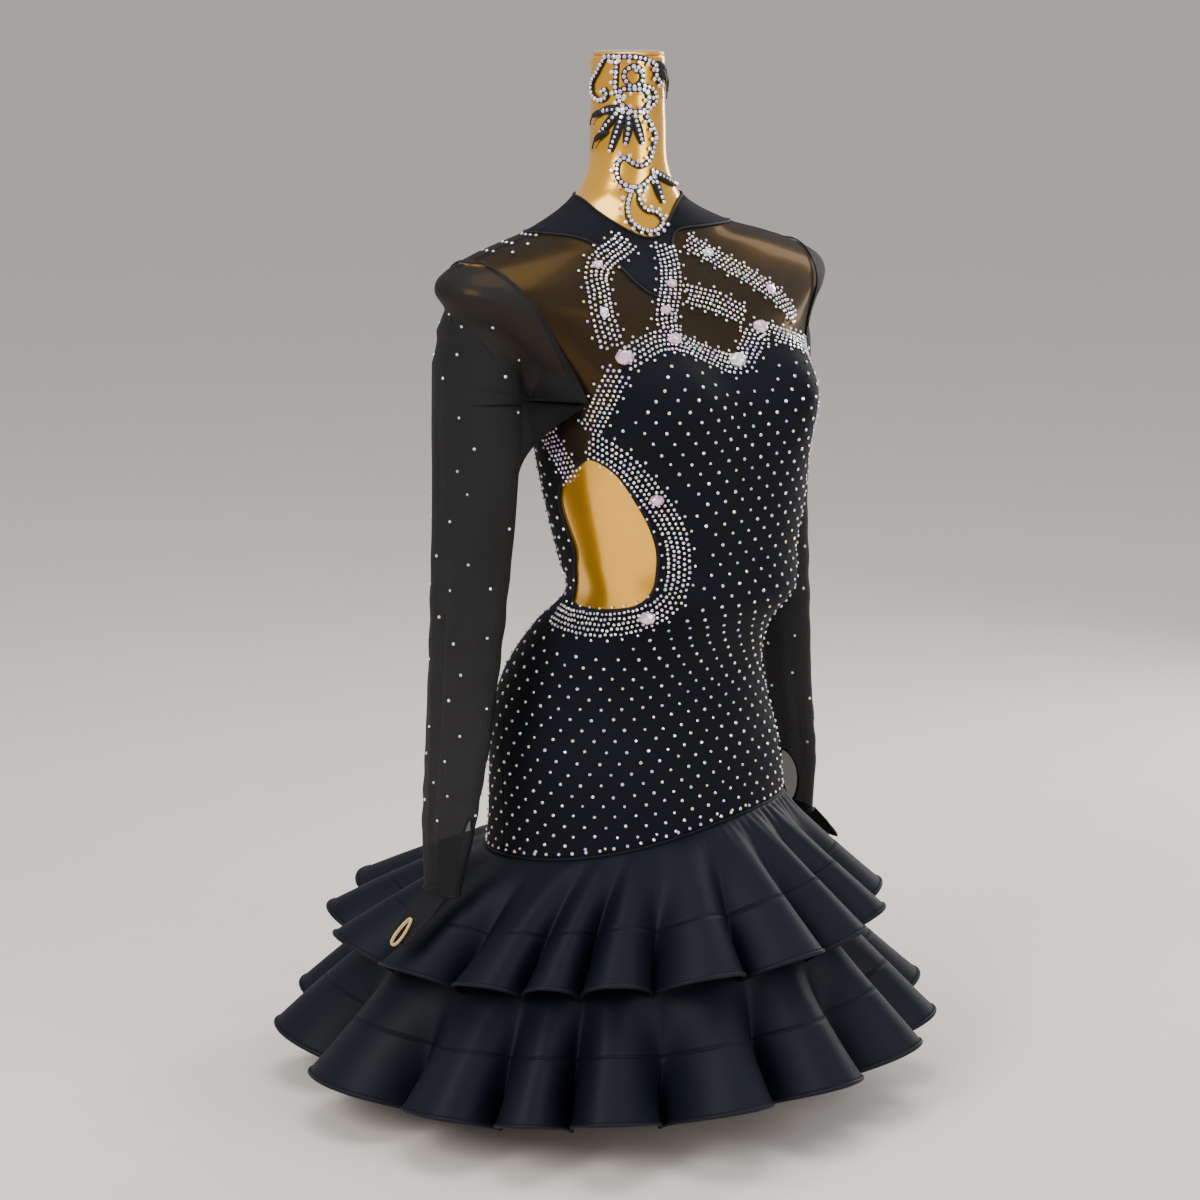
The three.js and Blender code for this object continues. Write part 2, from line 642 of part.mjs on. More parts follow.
// The piece of cut cloth that lies nearest a point of the form.
function pieceAt(angle, level) {
  const target = skinOffset(radians(angle), level, clothOuter);
  let best = null;
  let bestDistance = Infinity;
  for (const piece of clothPieces) {
    const { vertProperties, triVerts } = piece.getMesh();
    const corner = (i) => new THREE.Vector3().fromArray(vertProperties, 3 * triVerts[i]);
    for (let i = 0; i < triVerts.length; i += 3) {
      const face = new THREE.Triangle(corner(i), corner(i + 1), corner(i + 2));
      const near = face.closestPointToPoint(target, new THREE.Vector3());
      const distance = near.distanceTo(target);
      if (distance < bestDistance) {
        bestDistance = distance;
        best = piece;
      }
    }
  }
  return best;
}

const panels = [
  ["collar", -60, 668, "jersey"],
  ["front_yoke", -90, 590 + chestRise, "mesh"],
  ["back_yoke_right", 120, 600 + chestRise, "mesh"],
  ["back_yoke_left", 60, 600 + chestRise, "mesh"],
  ["bodice_front", -80, 400, "jersey"],
  ["bodice_back_right", 120, 400, "jersey"],
  ["bodice_back_left", 60, 400, "jersey"],
];
let takenByPanels = null;
for (const [name, angle, level, finish] of panels) {
  let panel = pieceAt(angle, level);
  if (takenByPanels) panel = largestBody(panel.subtract(takenByPanels));
  takenByPanels = takenByPanels ? takenByPanels.add(panel) : panel;
  addNode(name, toGeometry(panel), finish);
}

// The elastic that binds the cutout lies just inside its edge.
const bindingInset = BINDING_WIDTH / 2 + 1.5 * SEAM_GAP;
const innerLoop = cutoutLoop.map(([angle, level], i) => {
  const at = (step) => cutoutLoop[(i + step + cutoutLoop.length) % cutoutLoop.length];
  const [before, after] = [at(-1), at(1)].map(([turn, rise]) => skinPoint(radians(turn), rise));
  const inward = after.sub(before).cross(skinNormal(radians(angle), level)).normalize();
  const target = skinPoint(radians(angle), level).addScaledVector(inward, -bindingInset);
  return nearestOnSkin(target, [angle, level]);
});
const bindingLayer = layer(SKIN_GAP, clothOuter + 0.5, baseLevel, ARMPIT_LEVEL);
const binding = bindingLayer.intersect(trim(innerLoop, BINDING_WIDTH, 0, clothOuter + 2, true, 1));
addNode("cutout_binding", toGeometry(binding), "jersey");

// ---------------------------------------------------------------- crystals
const bandInner = clothOuter + CLEARANCE + 0.2;
const bandOuter = bandInner + CRYSTAL_BAND_THICKNESS;
const cutoutTrail = [
  [-164, 478], [-153, 463], [-144, 440], [-136, 412], [-131, 384], [-131, 356], [-137, 332], [-147, 314],
  [-162, 305], [-178, 303], [-196, 304],
];
const lift = (stops, rise) => stops.map(([angle, level]) => [angle, level + rise]);
const bandRoutes = [
  ["crystal_band_neckline", lift([...neckline.slice(0, 8), [-38, 553]], -2)],
  ["crystal_band_side", lift([[-146, 545], [-150, 533], [-158, 508], [-163, 490]], chestRise)],
  ["crystal_band_cutout", lift(cutoutTrail, waistRise)],
  ["crystal_band_collar_right", lift([[-134, 654], [-147, 637], [-146, 610], [-145, 582], [-145, 569]], chestRise)],
  ["crystal_band_collar_centre", lift([[-100, 648], [-104, 630], [-111, 611], [-118, 594], [-121, 580]], chestRise)],
  ["crystal_band_collar_left", lift([[-72, 650], [-60, 638], [-50, 622], [-42, 603], [-35, 576]], chestRise)],
  ["crystal_band_cross", lift([[-101, 606], [-79, 597], [-66, 584]], chestRise)],
  ["crystal_band_underarm", underarmBand],
];

// Large stones: name, angle, level and half size.
const largeStones = [
  ["stone_right_shoulder", -148, 635, 5.5],
  ["stone_right_chest", -145, 596, 5.5],
  ["stone_centre_upper", -109, 615, 6],
  ["stone_centre_lower", -119, 594, 6],
  ["stone_left_shoulder", -60, 638, 6],
  ["stone_left_chest", -42, 602, 6],
  ["stone_neckline_right", -143, 557, 9],
  ["stone_neckline_centre", -121, 569, 8],
  ["stone_neckline_left", -60, 572, 8],
  ["stone_neckline_dip", -85, 546, 9],
  ["stone_cutout_front", -139, 427, 7],
  ["stone_cutout_lower", -146, 315, 8],
];
const coveredForm = formSolid(clothOuter + CLEARANCE);
const stoneSeats = [];
for (const [name, angle, level, halfSize] of largeStones) {
  const outward = skinNormal(radians(angle), level);
  const seat = facetOffset(angle, level, clothOuter);
  const turn = new THREE.Quaternion().setFromUnitVectors(new THREE.Vector3(0, 1, 0), outward);
  const place = new THREE.Matrix4().compose(seat, turn, new THREE.Vector3(1, 1, 1));
  const girdle = new THREE.Vector2(halfSize, STONE_HEIGHT * 0.3);
  const profile = [
    new THREE.Vector2(0, 0),
    new THREE.Vector2(halfSize * 0.85, 0),
    girdle,
    new THREE.Vector2(halfSize * 0.6, STONE_HEIGHT),
    new THREE.Vector2(0, STONE_HEIGHT),
  ];
  const stone = new THREE.LatheGeometry(profile, 10).applyMatrix4(place);
  addNode(name, toGeometry(toSolid(stone).subtract(coveredForm)), "crystal");
  const footprint = new THREE.CylinderGeometry(halfSize + 0.5, halfSize + 0.5, 14, 12).applyMatrix4(place);
  stoneSeats.push(toSolid(footprint));
}
const allSeats = unite(stoneSeats);

const crystalLayer = layer(bandInner, bandOuter, baseLevel, NECK_TOP_LEVEL - 20);
let takenByBands = allSeats.add(trim(innerLoop, BINDING_WIDTH + 3 * SEAM_GAP, 0, bandOuter + 1, true, 1));
for (const [name, stops] of bandRoutes) {
  const seam = smoothSeam(stops, 2 * stops.length - 2);
  const band = crystalLayer.intersect(trim(seam, CRYSTAL_BAND_WIDTH, -3, bandOuter + 3, false, 1)).subtract(takenByBands);
  addNode(name, toGeometry(largestBody(band)), "crystal");
  takenByBands = takenByBands.add(trim(seam, CRYSTAL_BAND_WIDTH + 3 * SEAM_GAP, -3, bandOuter + 3, false, 1));
}

// The openwork ornament that lies on the neck: corded loops and bars joined into one lace.
const laceInner = SKIN_GAP;
const laceOuter = laceInner + LACE_THICKNESS;
const laceRoutes = [
  ["crown", [[-178, 814], [-120, 817], [-62, 814]], 8],
  ["bar", [[-121, 818], [-119, 776]], 9],
  ["left scroll", [[-172, 814], [-186, 796], [-170, 778], [-148, 782]], 7],
  ["right scroll", [[-72, 814], [-62, 796], [-78, 776]], 7],
  ["heart", [[-120, 780], [-102, 772], [-104, 752]], 12],
  ["petal left", [[-104, 758], [-128, 748], [-154, 744]], 8],
  ["petal middle", [[-102, 758], [-114, 738], [-118, 720]], 8],
  ["petal right", [[-100, 758], [-90, 738], [-84, 722]], 8],
  ["chain", [[-112, 742], [-110, 712], [-96, 692], [-100, 674]], 8],
].map(([label, stops, width]) => [label, lift(stops, NECK_TOP_LEVEL - 821), width]);
const laceParts = laceRoutes.map(([, stops, width]) => {
  const turn = Math.abs(stops[0][0] - stops[stops.length - 1][0]);
  const steps = Math.max(2 * stops.length - 2, Math.ceil(turn / 15));
  return trim(smoothSeam(stops, steps), width, -2, laceOuter + 2, false, 1);
});
const laceLayer = layer(laceInner, laceOuter, SHOULDER_LEVEL, NECK_TOP_LEVEL + 1);
addNode("neck_lace", toGeometry(laceLayer.intersect(unite(laceParts))), "jersey");

// Three corded tassels hang beside the lace.
const tasselRoutes = [
  [[-56, 814], [-50, 800], [-48, 786]],
  [[-56, 814], [-40, 800], [-34, 788]],
  [[-56, 814], [-58, 802], [-62, 792]],
];
const tassels = tasselRoutes.map((stops) => {
  const route = smoothSeam(lift(stops, NECK_TOP_LEVEL - 821), 4);
  return trim(route, 4.5, -2, laceOuter + 2, false, 1);
});
const laceReach = ribbon([[-64, NECK_TOP_LEVEL - 2], [-56, NECK_TOP_LEVEL - 60]], 6.5);
const hangingCords = laceLayer.intersect(unite(tassels)).subtract(laceReach);
addNode("neck_tassel", toGeometry(largestBody(hangingCords)), "jersey");

// ---------------------------------------------------------------- sleeves
// Each sleeve is one tube of mesh. Its head is fixed over the shoulder and its arm swings from a ball-shaped
// overlap at the pivot level, where the two are cut apart.
const sleeveSections = [
  { level: SHOULDER_LEVEL - 14, centre: 181, halfWidth: 33, halfDepth: 50, back: 0 },
  { level: SLEEVE_PIVOT_LEVEL, centre: 183, halfWidth: 31, halfDepth: 50, back: 0 },
  { level: mix(SLEEVE_PIVOT_LEVEL, SLEEVE_WRIST_LEVEL, 0.22), centre: 189, halfWidth: 28, halfDepth: 47, back: 0 },
  { level: mix(SLEEVE_PIVOT_LEVEL, SLEEVE_WRIST_LEVEL, 0.45), centre: 198, halfWidth: 24, halfDepth: 43, back: 0 },
  { level: mix(SLEEVE_PIVOT_LEVEL, SLEEVE_WRIST_LEVEL, 0.68), centre: 208, halfWidth: 20, halfDepth: 38, back: 0 },
  { level: mix(SLEEVE_PIVOT_LEVEL, SLEEVE_WRIST_LEVEL, 0.87), centre: 220, halfWidth: 15, halfDepth: 31, back: 0 },
  { level: SLEEVE_WRIST_LEVEL, centre: 228, halfWidth: 10, halfDepth: 23, back: 0 },
];

function sleeveAt(level) {
  const last = sleeveSections.length - 2;
  let i = 0;
  while (i < last && sleeveSections[i + 1].level > level) i += 1;
  const low = sleeveSections[i];
  const high = sleeveSections[i + 1];
  const share = (low.level - level) / (low.level - high.level);
  return {
    centre: mix(low.centre, high.centre, share),
    halfWidth: mix(low.halfWidth, high.halfWidth, share),
    halfDepth: mix(low.halfDepth, high.halfDepth, share),
  };
}

// Near the pivot the head's wall follows a ball, so that the arm turns round it with the same gap.
function ballShare(level, halfDepth) {
  const rise = level - SLEEVE_PIVOT_LEVEL;
  const reach = Math.min(Math.abs(rise), BALL_REACH);
  const ball = Math.sqrt(1 - (reach / halfDepth) ** 2);
  return mix(ball, 1, smoothStep((Math.abs(rise) - BALL_REACH) / BALL_REACH));
}

function sleeveRing(side, level, growth, ball) {
  const at = sleeveAt(level);
  const share = ball ? ballShare(level, at.halfDepth) : 1;
  const ring = [];
  for (let i = 0; i < SLEEVE_COLUMNS; i += 1) {
    const angle = (2 * Math.PI * i) / SLEEVE_COLUMNS;
    const x = side * (at.centre + (at.halfWidth * share + growth) * Math.cos(side * angle));
    const y = (at.halfDepth * share + growth) * Math.sin(side * angle);
    ring.push(new THREE.Vector3(x, side > 0 ? y : -y, level));
  }
  return side > 0 ? ring : ring.map((point) => point.setY(-point.y));
}

const headBottom = SLEEVE_PIVOT_LEVEL - 12;
const headRings = [
  SHOULDER_LEVEL - 14, SLEEVE_PIVOT_LEVEL + 48, SLEEVE_PIVOT_LEVEL + 30, SLEEVE_PIVOT_LEVEL + 18,
  SLEEVE_PIVOT_LEVEL + 9, SLEEVE_PIVOT_LEVEL, SLEEVE_PIVOT_LEVEL - 6, headBottom,
].reverse();
const bulbLevels = formLevels.filter((level) => level > WAIST_LEVEL + waistToChest * 0.7 && level < NECK_BASE_LEVEL);
const bulbInner = formSolid(SKIN_GAP, bulbLevels);
const bulbOuter = formSolid(clothOuter, bulbLevels);

for (const [side, name] of [[-1, "right"], [1, "left"]]) {
  const outerTube = orientedSolid(headRings.map((level) => sleeveRing(side, level, 0, true)));
  const innerTube = orientedSolid([
    ...[headBottom - 5, ...headRings.slice(1)].map((level) => sleeveRing(side, level, -SLEEVE_WALL, true)),
  ]);
  const head = bulbOuter
    .add(outerTube)
    .subtract(bulbInner.add(innerTube))
    .intersect(beyondArmhole(side, SEAM_GAP / 2, sleeveAt(SLEEVE_PIVOT_LEVEL).centre - sleeveAt(SLEEVE_PIVOT_LEVEL).halfWidth - 1));
  addNode(`sleeve_head_${name}`, toGeometry(largestBody(head)), "mesh");

  const armTop = SLEEVE_PIVOT_LEVEL + 8;
  const armLevels = [armTop, SLEEVE_PIVOT_LEVEL, ...sleeveSections.slice(2).map((each) => each.level)];
  const armRings = armLevels.map((level, i) => sleeveRing(side, level, SLEEVE_RUNNING_GAP, i === 0)).reverse();
  const armOuter = armLevels
    .map((level, i) => sleeveRing(side, level, SLEEVE_RUNNING_GAP + SLEEVE_WALL, i === 0))
    .reverse();
  let arm = orientedSolid([...armOuter, ...armRings.reverse()], true, armLevels.length);
  const slot = new THREE.CylinderGeometry(1, 1, 60, 16);
  slot.rotateZ(Math.PI / 2);
  slot.scale(1, KEYHOLE_HALF_WIDTH, KEYHOLE_HALF_HEIGHT);
  const slotLevel = SLEEVE_WRIST_LEVEL + KEYHOLE_HALF_HEIGHT + 8;
  slot.translate(side * (sleeveAt(slotLevel).centre - 30), 0, slotLevel);
  arm = arm.subtract(toSolid(slot));
  addNode(`sleeve_${name}`, toGeometry(arm), "mesh");

  // The sleeve ends in a hand point that lies over the flounce, with an elastic loop for a finger.
  const wrist = sleeveAt(SLEEVE_WRIST_LEVEL);
  const slope = radians(HAND_POINT_SLOPE);
  const pointAt = (along, across, out) => {
    const x = wrist.centre + wrist.halfWidth + SLEEVE_RUNNING_GAP + SLEEVE_WALL / 2 + along * Math.sin(slope) + out * Math.cos(slope);
    const level = SLEEVE_WRIST_LEVEL - CLEARANCE - 0.2 - along * Math.cos(slope) + out * Math.sin(slope);
    return new THREE.Vector3(side * x, across, level);
  };
  const pointRings = [[0, 15], [0.5, 12], [1, 5]].map(([share, half]) => {
    const along = share * HAND_POINT_LENGTH;
    return [
      pointAt(along, -half, 0), pointAt(along, half, 0),
      pointAt(along, half, FABRIC_THICKNESS), pointAt(along, -half, FABRIC_THICKNESS),
    ];
  });
  addNode(`hand_point_${name}`, toGeometry(orientedSolid(pointRings)), "mesh");

  const loopStart = HAND_POINT_LENGTH * 0.55;
  const loopPoints = [];
  const loopSteps = 20;
  for (let i = 0; i < loopSteps; i += 1) {
    const turn = (2 * Math.PI * i) / loopSteps;
    const along = loopStart + (FINGER_LOOP_LENGTH / 2) * (1 - Math.cos(turn));
    const lift0 = FABRIC_THICKNESS + CLEARANCE + ELASTIC_RADIUS;
    loopPoints.push(pointAt(along, (FINGER_LOOP_WIDTH / 2) * Math.sin(turn), lift0));
  }
  const loopRings = loopPoints.map((point, i) => {
    const next = loopPoints[(i + 1) % loopSteps];
    const last = loopPoints[(i + loopSteps - 1) % loopSteps];
    const along = next.clone().sub(last).normalize();
    const out = pointAt(0, 0, 1).sub(pointAt(0, 0, 0)).normalize();
    const across = along.clone().cross(out).normalize();
    return [0, 1, 2, 3, 4, 5].map((k) => {
      const spin = (Math.PI * k) / 3;
      return point
        .clone()
        .addScaledVector(out, ELASTIC_RADIUS * Math.cos(spin))
        .addScaledVector(across, ELASTIC_RADIUS * Math.sin(spin));
    });
  });
  addNode(`finger_loop_${name}`, toGeometry(orientedSolid(loopRings, true)), "elastic");
}

// ---------------------------------------------------------------- skirt
// Where the flutes of each flounce stand, as angles round the hem.
const upperFlutes = [138, 160, 184, 205, 218, 230, 250, 274, 291, 308, 327, 347, 369, 388, 407, 428, 450, 474];
const lowerFlutes = [143, 174, 201, 216, 229, 253, 273, 295, 315, 335, 355, 375, 395, 415, 437, 459, 481];

function fluteWave(angle, flutes) {
  const turn = flutes[0] + 360;
  const stops = [...flutes, turn];
  const at = ((((angle - flutes[0]) % 360) + 360) % 360) + flutes[0];
  let i = 0;
  while (i < stops.length - 2 && stops[i + 1] <= at) i += 1;
  return Math.cos((2 * Math.PI * (at - stops[i])) / (stops[i + 1] - stops[i]));
}

function hemPoint(angle, radius, level, shift) {
  const turn = radians(angle);
  const tilt = 0.5 * HIP_SEAM_TILT * Math.cos(radians(angle - HIP_SEAM_HIGH_SIDE));
  return new THREE.Vector3(radius * Math.cos(turn), radius * Math.sin(turn) + shift, level + tilt);
}

// A point of a flared tier: share 0 is its seam and 1 its hem.
function tierPoint(tier, angle, share) {
  const top = tier.top(angle);
  const hem = hemPoint(angle, tier.hemRadius, tier.hemLevel, tier.shift);
  const flare = share ** 0.9;
  const wave = tier.fluteHeight * share ** 1.3 * fluteWave(angle, tier.flutes);
  const turn = radians(angle);
  return new THREE.Vector3(
    mix(top.x, hem.x, flare) + 0.6 * wave * Math.cos(turn),
    mix(top.y, hem.y, flare) + 0.6 * wave * Math.sin(turn),
    mix(top.z, hem.z, share ** 1.12) + 0.8 * wave,
  );
}

function tierShell(tier, fromShare, toShare, rows, thickness, columns) {
  const wall = (row, out) => {
    const share = mix(fromShare, toShare, row / rows);
    const ring = [];
    for (let i = 0; i < columns; i += 1) {
      const angle = (360 * i) / columns;
      const here = tierPoint(tier, angle, share);
      const around = tierPoint(tier, angle + 1, share).sub(tierPoint(tier, angle - 1, share));
      const down = tierPoint(tier, angle, share + 0.02).sub(tierPoint(tier, angle, Math.max(0, share - 0.02)));
      ring.push(here.addScaledVector(down.cross(around).normalize(), out));
    }
    return ring;
  };
  const rowNumbers = [...Array(rows + 1).keys()];
  const outside = rowNumbers.map((row) => wall(row, thickness / 2));
  const inside = rowNumbers.map((row) => wall(row, -thickness / 2)).reverse();
  return toGeometry(orientedSolid([...outside, ...inside], true, rows + 1));
}

const clothMiddle = SKIN_GAP + FABRIC_THICKNESS / 2;
const underskirt = {
  top: (angle) => facetOffset(angle, hipSeamLevel(angle) - 8, clothMiddle + 1.1),
  hemRadius: UNDERSKIRT_HEM_RADIUS,
  hemLevel: UNDERSKIRT_HEM_LEVEL,
  shift: HEM_CENTRE_SHIFT * 0.5,
  fluteHeight: 0,
  flutes: lowerFlutes,
};
const upperTier = {
  top: (angle) => skinOffset(radians(angle), hipSeamLevel(angle) - 1.2, clothMiddle + 0.3),
  hemRadius: UPPER_HEM_RADIUS,
  hemLevel: UPPER_HEM_LEVEL,
  shift: HEM_CENTRE_SHIFT,
  fluteHeight: UPPER_FLUTE_HEIGHT,
  flutes: upperFlutes,
};
const seamStep = 0.8;
const lowerTier = {
  top: (angle) => hemPoint(angle, UNDERSKIRT_HEM_RADIUS + seamStep * 0.6, UNDERSKIRT_HEM_LEVEL - seamStep, underskirt.shift),
  hemRadius: LOWER_HEM_RADIUS,
  hemLevel: LOWER_HEM_LEVEL,
  shift: HEM_CENTRE_SHIFT,
  fluteHeight: LOWER_FLUTE_HEIGHT,
  flutes: lowerFlutes,
};
addNode("underskirt", tierShell(underskirt, 0, 1, 1, FLOUNCE_THICKNESS, FLOUNCE_COLUMNS), "satin");
const bandStart = 1 - HEM_BAND_SHARE;
const bandKerf = 0.006;
for (const [name, tier] of [["upper", upperTier], ["lower", lowerTier]]) {
  const cloth = tierShell(tier, 0, bandStart - bandKerf, 2, FLOUNCE_THICKNESS, FLOUNCE_COLUMNS);
  addNode(`${name}_flounce`, cloth, "satin");
  const hem = tierShell(tier, bandStart, 1, 1, HEM_BAND_THICKNESS, FLOUNCE_COLUMNS);
  addNode(`${name}_hem_band`, hem, "satin");
}

// ---------------------------------------------------------------- zip fastener
function crossPin(radius, length, y, z) {
  const pin = new THREE.CylinderGeometry(radius, radius, length, 16);
  pin.rotateZ(Math.PI / 2);
  pin.translate(0, y, z);
  return pin;
}

const chainBottom = SKIN_GAP + CLEARANCE;
const chainTop = chainBottom + ZIP_CHAIN_THICKNESS;
const chainHalf = ZIP_CHAIN_WIDTH / 2;
const leftChain = block(SEAM_GAP / 2, chainHalf, chainBottom, chainTop, 0, zipLength);
const rightChain = block(-chainHalf, -SEAM_GAP / 2, chainBottom, chainTop, 0, zipLength);
addNode("zip_chain_left", leftChain.applyMatrix4(zipFrame), "zip");
addNode("zip_chain_right", rightChain.applyMatrix4(zipFrame), "zip");

const sliderBottom = chainTop + SEAM_GAP;
const sliderTop = sliderBottom + SLIDER_PLATE;
const stopHeight = sliderTop - 0.4;
const bottomStop = block(-chainHalf, chainHalf, chainBottom, stopHeight, -4, -CLEARANCE);
addNode("zip_bottom_stop", bottomStop.applyMatrix4(zipFrame), "zip");
const topStop = block(-chainHalf, chainHalf, chainBottom, stopHeight, zipLength + CLEARANCE, zipLength + 3);
addNode("zip_top_stop", topStop.applyMatrix4(zipFrame), "zip");

const sliderEnd = zipLength - 0.1;
const eyeRadius = PIN_RADIUS + PIN_CLEARANCE + PULL_EYE_WALL;
const pinHeight = sliderTop + CLEARANCE + 0.1 + eyeRadius;
const pinAlong = sliderEnd - SLIDER_LENGTH / 2;
const sliderHalf = SLIDER_WIDTH / 2;
const lugInner = PULL_WIDTH / 2 + PIN_CLEARANCE;
const sliderParts = [
  block(-sliderHalf, sliderHalf, sliderBottom, sliderTop, sliderEnd - SLIDER_LENGTH, sliderEnd),
  crossPin(PIN_RADIUS, 2 * lugInner + 1, pinHeight, pinAlong),
];
for (const side of [-1, 1]) {
  const [near, far] = [side * (chainHalf + 0.5), side * sliderHalf].sort((a, b) => a - b);
  const flangeBottom = sliderBottom - 0.7;
  sliderParts.push(block(near, far, flangeBottom, sliderBottom + 0.5, sliderEnd - SLIDER_LENGTH, sliderEnd));
  const [lugNear, lugFar] = [side * lugInner, side * (lugInner + 1)].sort((a, b) => a - b);
  sliderParts.push(block(lugNear, lugFar, sliderTop - 0.4, pinHeight + 1.1, pinAlong - 1.6, pinAlong + 1.6));
}
const slider = unite(sliderParts.map(toSolid));
addNode("zip_slider", toGeometry(slider).applyMatrix4(zipFrame), "zip");

// The pull hangs straight down from its pin.
const pin = new THREE.Vector3(0, pinHeight, pinAlong).applyMatrix4(zipFrame);
const pullHalf = PULL_WIDTH / 2;
const pullBody = toSolid(crossPin(eyeRadius, PULL_WIDTH, 0, 0))
  .add(toSolid(block(-pullHalf, pullHalf, -PULL_THICKNESS / 2, PULL_THICKNESS / 2, -PULL_LENGTH, 0)))
  .subtract(toSolid(crossPin(PIN_RADIUS + PIN_CLEARANCE, PULL_WIDTH + 2, 0, 0)));
addNode("zip_pull", toGeometry(pullBody).translate(pin.x, pin.y, pin.z), "zip");

// ---------------------------------------------------------------- collar hook and eye, waist petals
function wire(points, radius, closed = false) {
  const curve = new THREE.CatmullRomCurve3(points, closed);
  const section2d = new THREE.Shape();
  section2d.absarc(0, 0, radius, 0, 2 * Math.PI);
  const steps = closed ? 12 : 10;
  return new THREE.ExtrudeGeometry(section2d, { steps, extrudePath: curve, curveSegments: 3, bevelEnabled: false });
}

const clasp = skinOffset(Math.PI / 2, COLLAR_TOP_LEVEL - 16, clothOuter + CLEARANCE + 0.1);
const WIRE_RADIUS = 0.5;
const eyeReach = 2.6;
const eyeCentre = -eyeReach - 0.6;
const eyePoints = [...Array(12).keys()].map((i) => {
  const turn = (2 * Math.PI * i) / 12;
  const x = eyeCentre + eyeReach * Math.cos(turn);
  return new THREE.Vector3(clasp.x + x, clasp.y + WIRE_RADIUS, clasp.z + eyeReach * Math.sin(turn));
});
addNode("collar_eye", toGeometry(toSolid(wire(eyePoints, WIRE_RADIUS, true))), "steel");
const hookPoints = [[5.5, 0.5], [2.6, 0.7], [0.4, 2.2], [-2.2, 2.4], [-3.1, 1.4], [-3.0, 0.6]].map(
  ([x, out]) => new THREE.Vector3(clasp.x + x, clasp.y + out + 0.1, clasp.z),
);
addNode("collar_hook", toGeometry(toSolid(wire(hookPoints, WIRE_RADIUS))), "steel");

// Three stiffened petals stand out of the left side of the waist.
const PETAL_ANGLE = -8;
const petalLevel = WAIST_LEVEL - 72;
const petalOffset = clothOuter + CLEARANCE + 1.6;
const petalSeat = facetOffset(PETAL_ANGLE, petalLevel, petalOffset);
const petalUp = facetOffset(PETAL_ANGLE, petalLevel + 22, petalOffset)
  .sub(facetOffset(PETAL_ANGLE, petalLevel - 24, petalOffset))
  .normalize();
const petalSide = new THREE.Vector3(Math.cos(radians(PETAL_ANGLE)), Math.sin(radians(PETAL_ANGLE)), 0)
  .cross(petalUp)
  .negate()
  .normalize();
const petalFrame = new THREE.Matrix4()
  .makeBasis(petalSide.clone().cross(petalUp), petalSide, petalUp)
  .setPosition(petalSeat);
const PETAL_THICKNESS = 1.6;

function petal(outline) {
  const shape = new THREE.Shape(outline.map(([out, level]) => new THREE.Vector2(out, level)));
  const plate = new THREE.ExtrudeGeometry(shape, { depth: PETAL_THICKNESS, bevelEnabled: false });
  plate.rotateX(Math.PI / 2);
  return plate.translate(0, PETAL_THICKNESS / 2, 0);
}
const petalOutlines = [
  [[0, 10], [9, 14], [13, 22], [9, 27], [3, 27], [0, 20]],
  [[0, 8], [0, -14], [8, -12], [13, -5], [13, 3], [8, 8]],
  [[0, -12], [0, -24], [14, -30], [15, -26], [8, -12]],
  [[0, 22], [0, -24], [1.6, -24], [1.6, 22]],
];
addNode("waist_petals", toGeometry(unite(petalOutlines.map((each) => toSolid(petal(each))))).applyMatrix4(petalFrame), "satin");

export default dress;
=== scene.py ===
# Looks for the dance dress on its display form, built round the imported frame. Metres, +Z up.
import math
import random

import bmesh
import bpy
import numpy as np
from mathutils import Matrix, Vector
from mathutils.geometry import delaunay_2d_cdt
from mathutils.kdtree import KDTree


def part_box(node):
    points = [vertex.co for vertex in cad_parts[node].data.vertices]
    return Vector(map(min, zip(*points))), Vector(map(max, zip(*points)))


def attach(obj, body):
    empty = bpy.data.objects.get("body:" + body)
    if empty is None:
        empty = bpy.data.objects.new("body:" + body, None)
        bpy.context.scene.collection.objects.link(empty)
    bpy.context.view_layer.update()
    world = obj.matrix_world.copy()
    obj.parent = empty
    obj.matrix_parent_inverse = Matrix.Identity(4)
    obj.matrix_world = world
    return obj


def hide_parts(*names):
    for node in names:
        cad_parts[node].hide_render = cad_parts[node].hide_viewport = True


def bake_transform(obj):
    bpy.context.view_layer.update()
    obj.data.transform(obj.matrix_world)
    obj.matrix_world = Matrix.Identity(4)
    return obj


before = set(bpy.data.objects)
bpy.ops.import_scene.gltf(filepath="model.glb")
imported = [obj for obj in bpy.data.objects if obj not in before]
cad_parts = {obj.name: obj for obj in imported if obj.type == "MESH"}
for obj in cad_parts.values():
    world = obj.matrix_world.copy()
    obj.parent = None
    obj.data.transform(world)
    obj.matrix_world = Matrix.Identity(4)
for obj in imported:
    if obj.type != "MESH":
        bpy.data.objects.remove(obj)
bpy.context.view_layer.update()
ROOT = "dress_on_form"
MM = 0.001
rng = random.Random(11)


# ---------------- sizes shared with the CAD, in millimetres
SECTION_POWER = 2.25
BUST_LEVEL = 524
BREAST_SPACING = 76
BREAST_DEPTH = 29
BREAST_SPREAD = 36
NECK_TOP = 821
ARMPIT_LEVEL = 512
SEAM_X = 192
SEAM_TOP = 640
WRIST_LEVEL = 52
HAND_LENGTH = 58
HAND_SLOPE = math.radians(46)
UPPER_HEM_RADIUS, UPPER_HEM_LEVEL, UPPER_FLUTE_HEIGHT = 268, -22, 17
LOWER_HEM_RADIUS, LOWER_HEM_LEVEL, LOWER_FLUTE_HEIGHT = 318, -138, 20
UNDER_HEM_RADIUS, UNDER_HEM_LEVEL = 204, -6
HEM_SHIFT = 30
UPPER_FLUTES = [138, 160, 184, 205, 218, 230, 250, 274, 291, 308, 327, 347, 369, 388, 407, 428, 450, 474]
LOWER_FLUTES = [143, 174, 201, 216, 229, 253, 273, 295, 315, 335, 355, 375, 395, 415, 437, 459, 481]


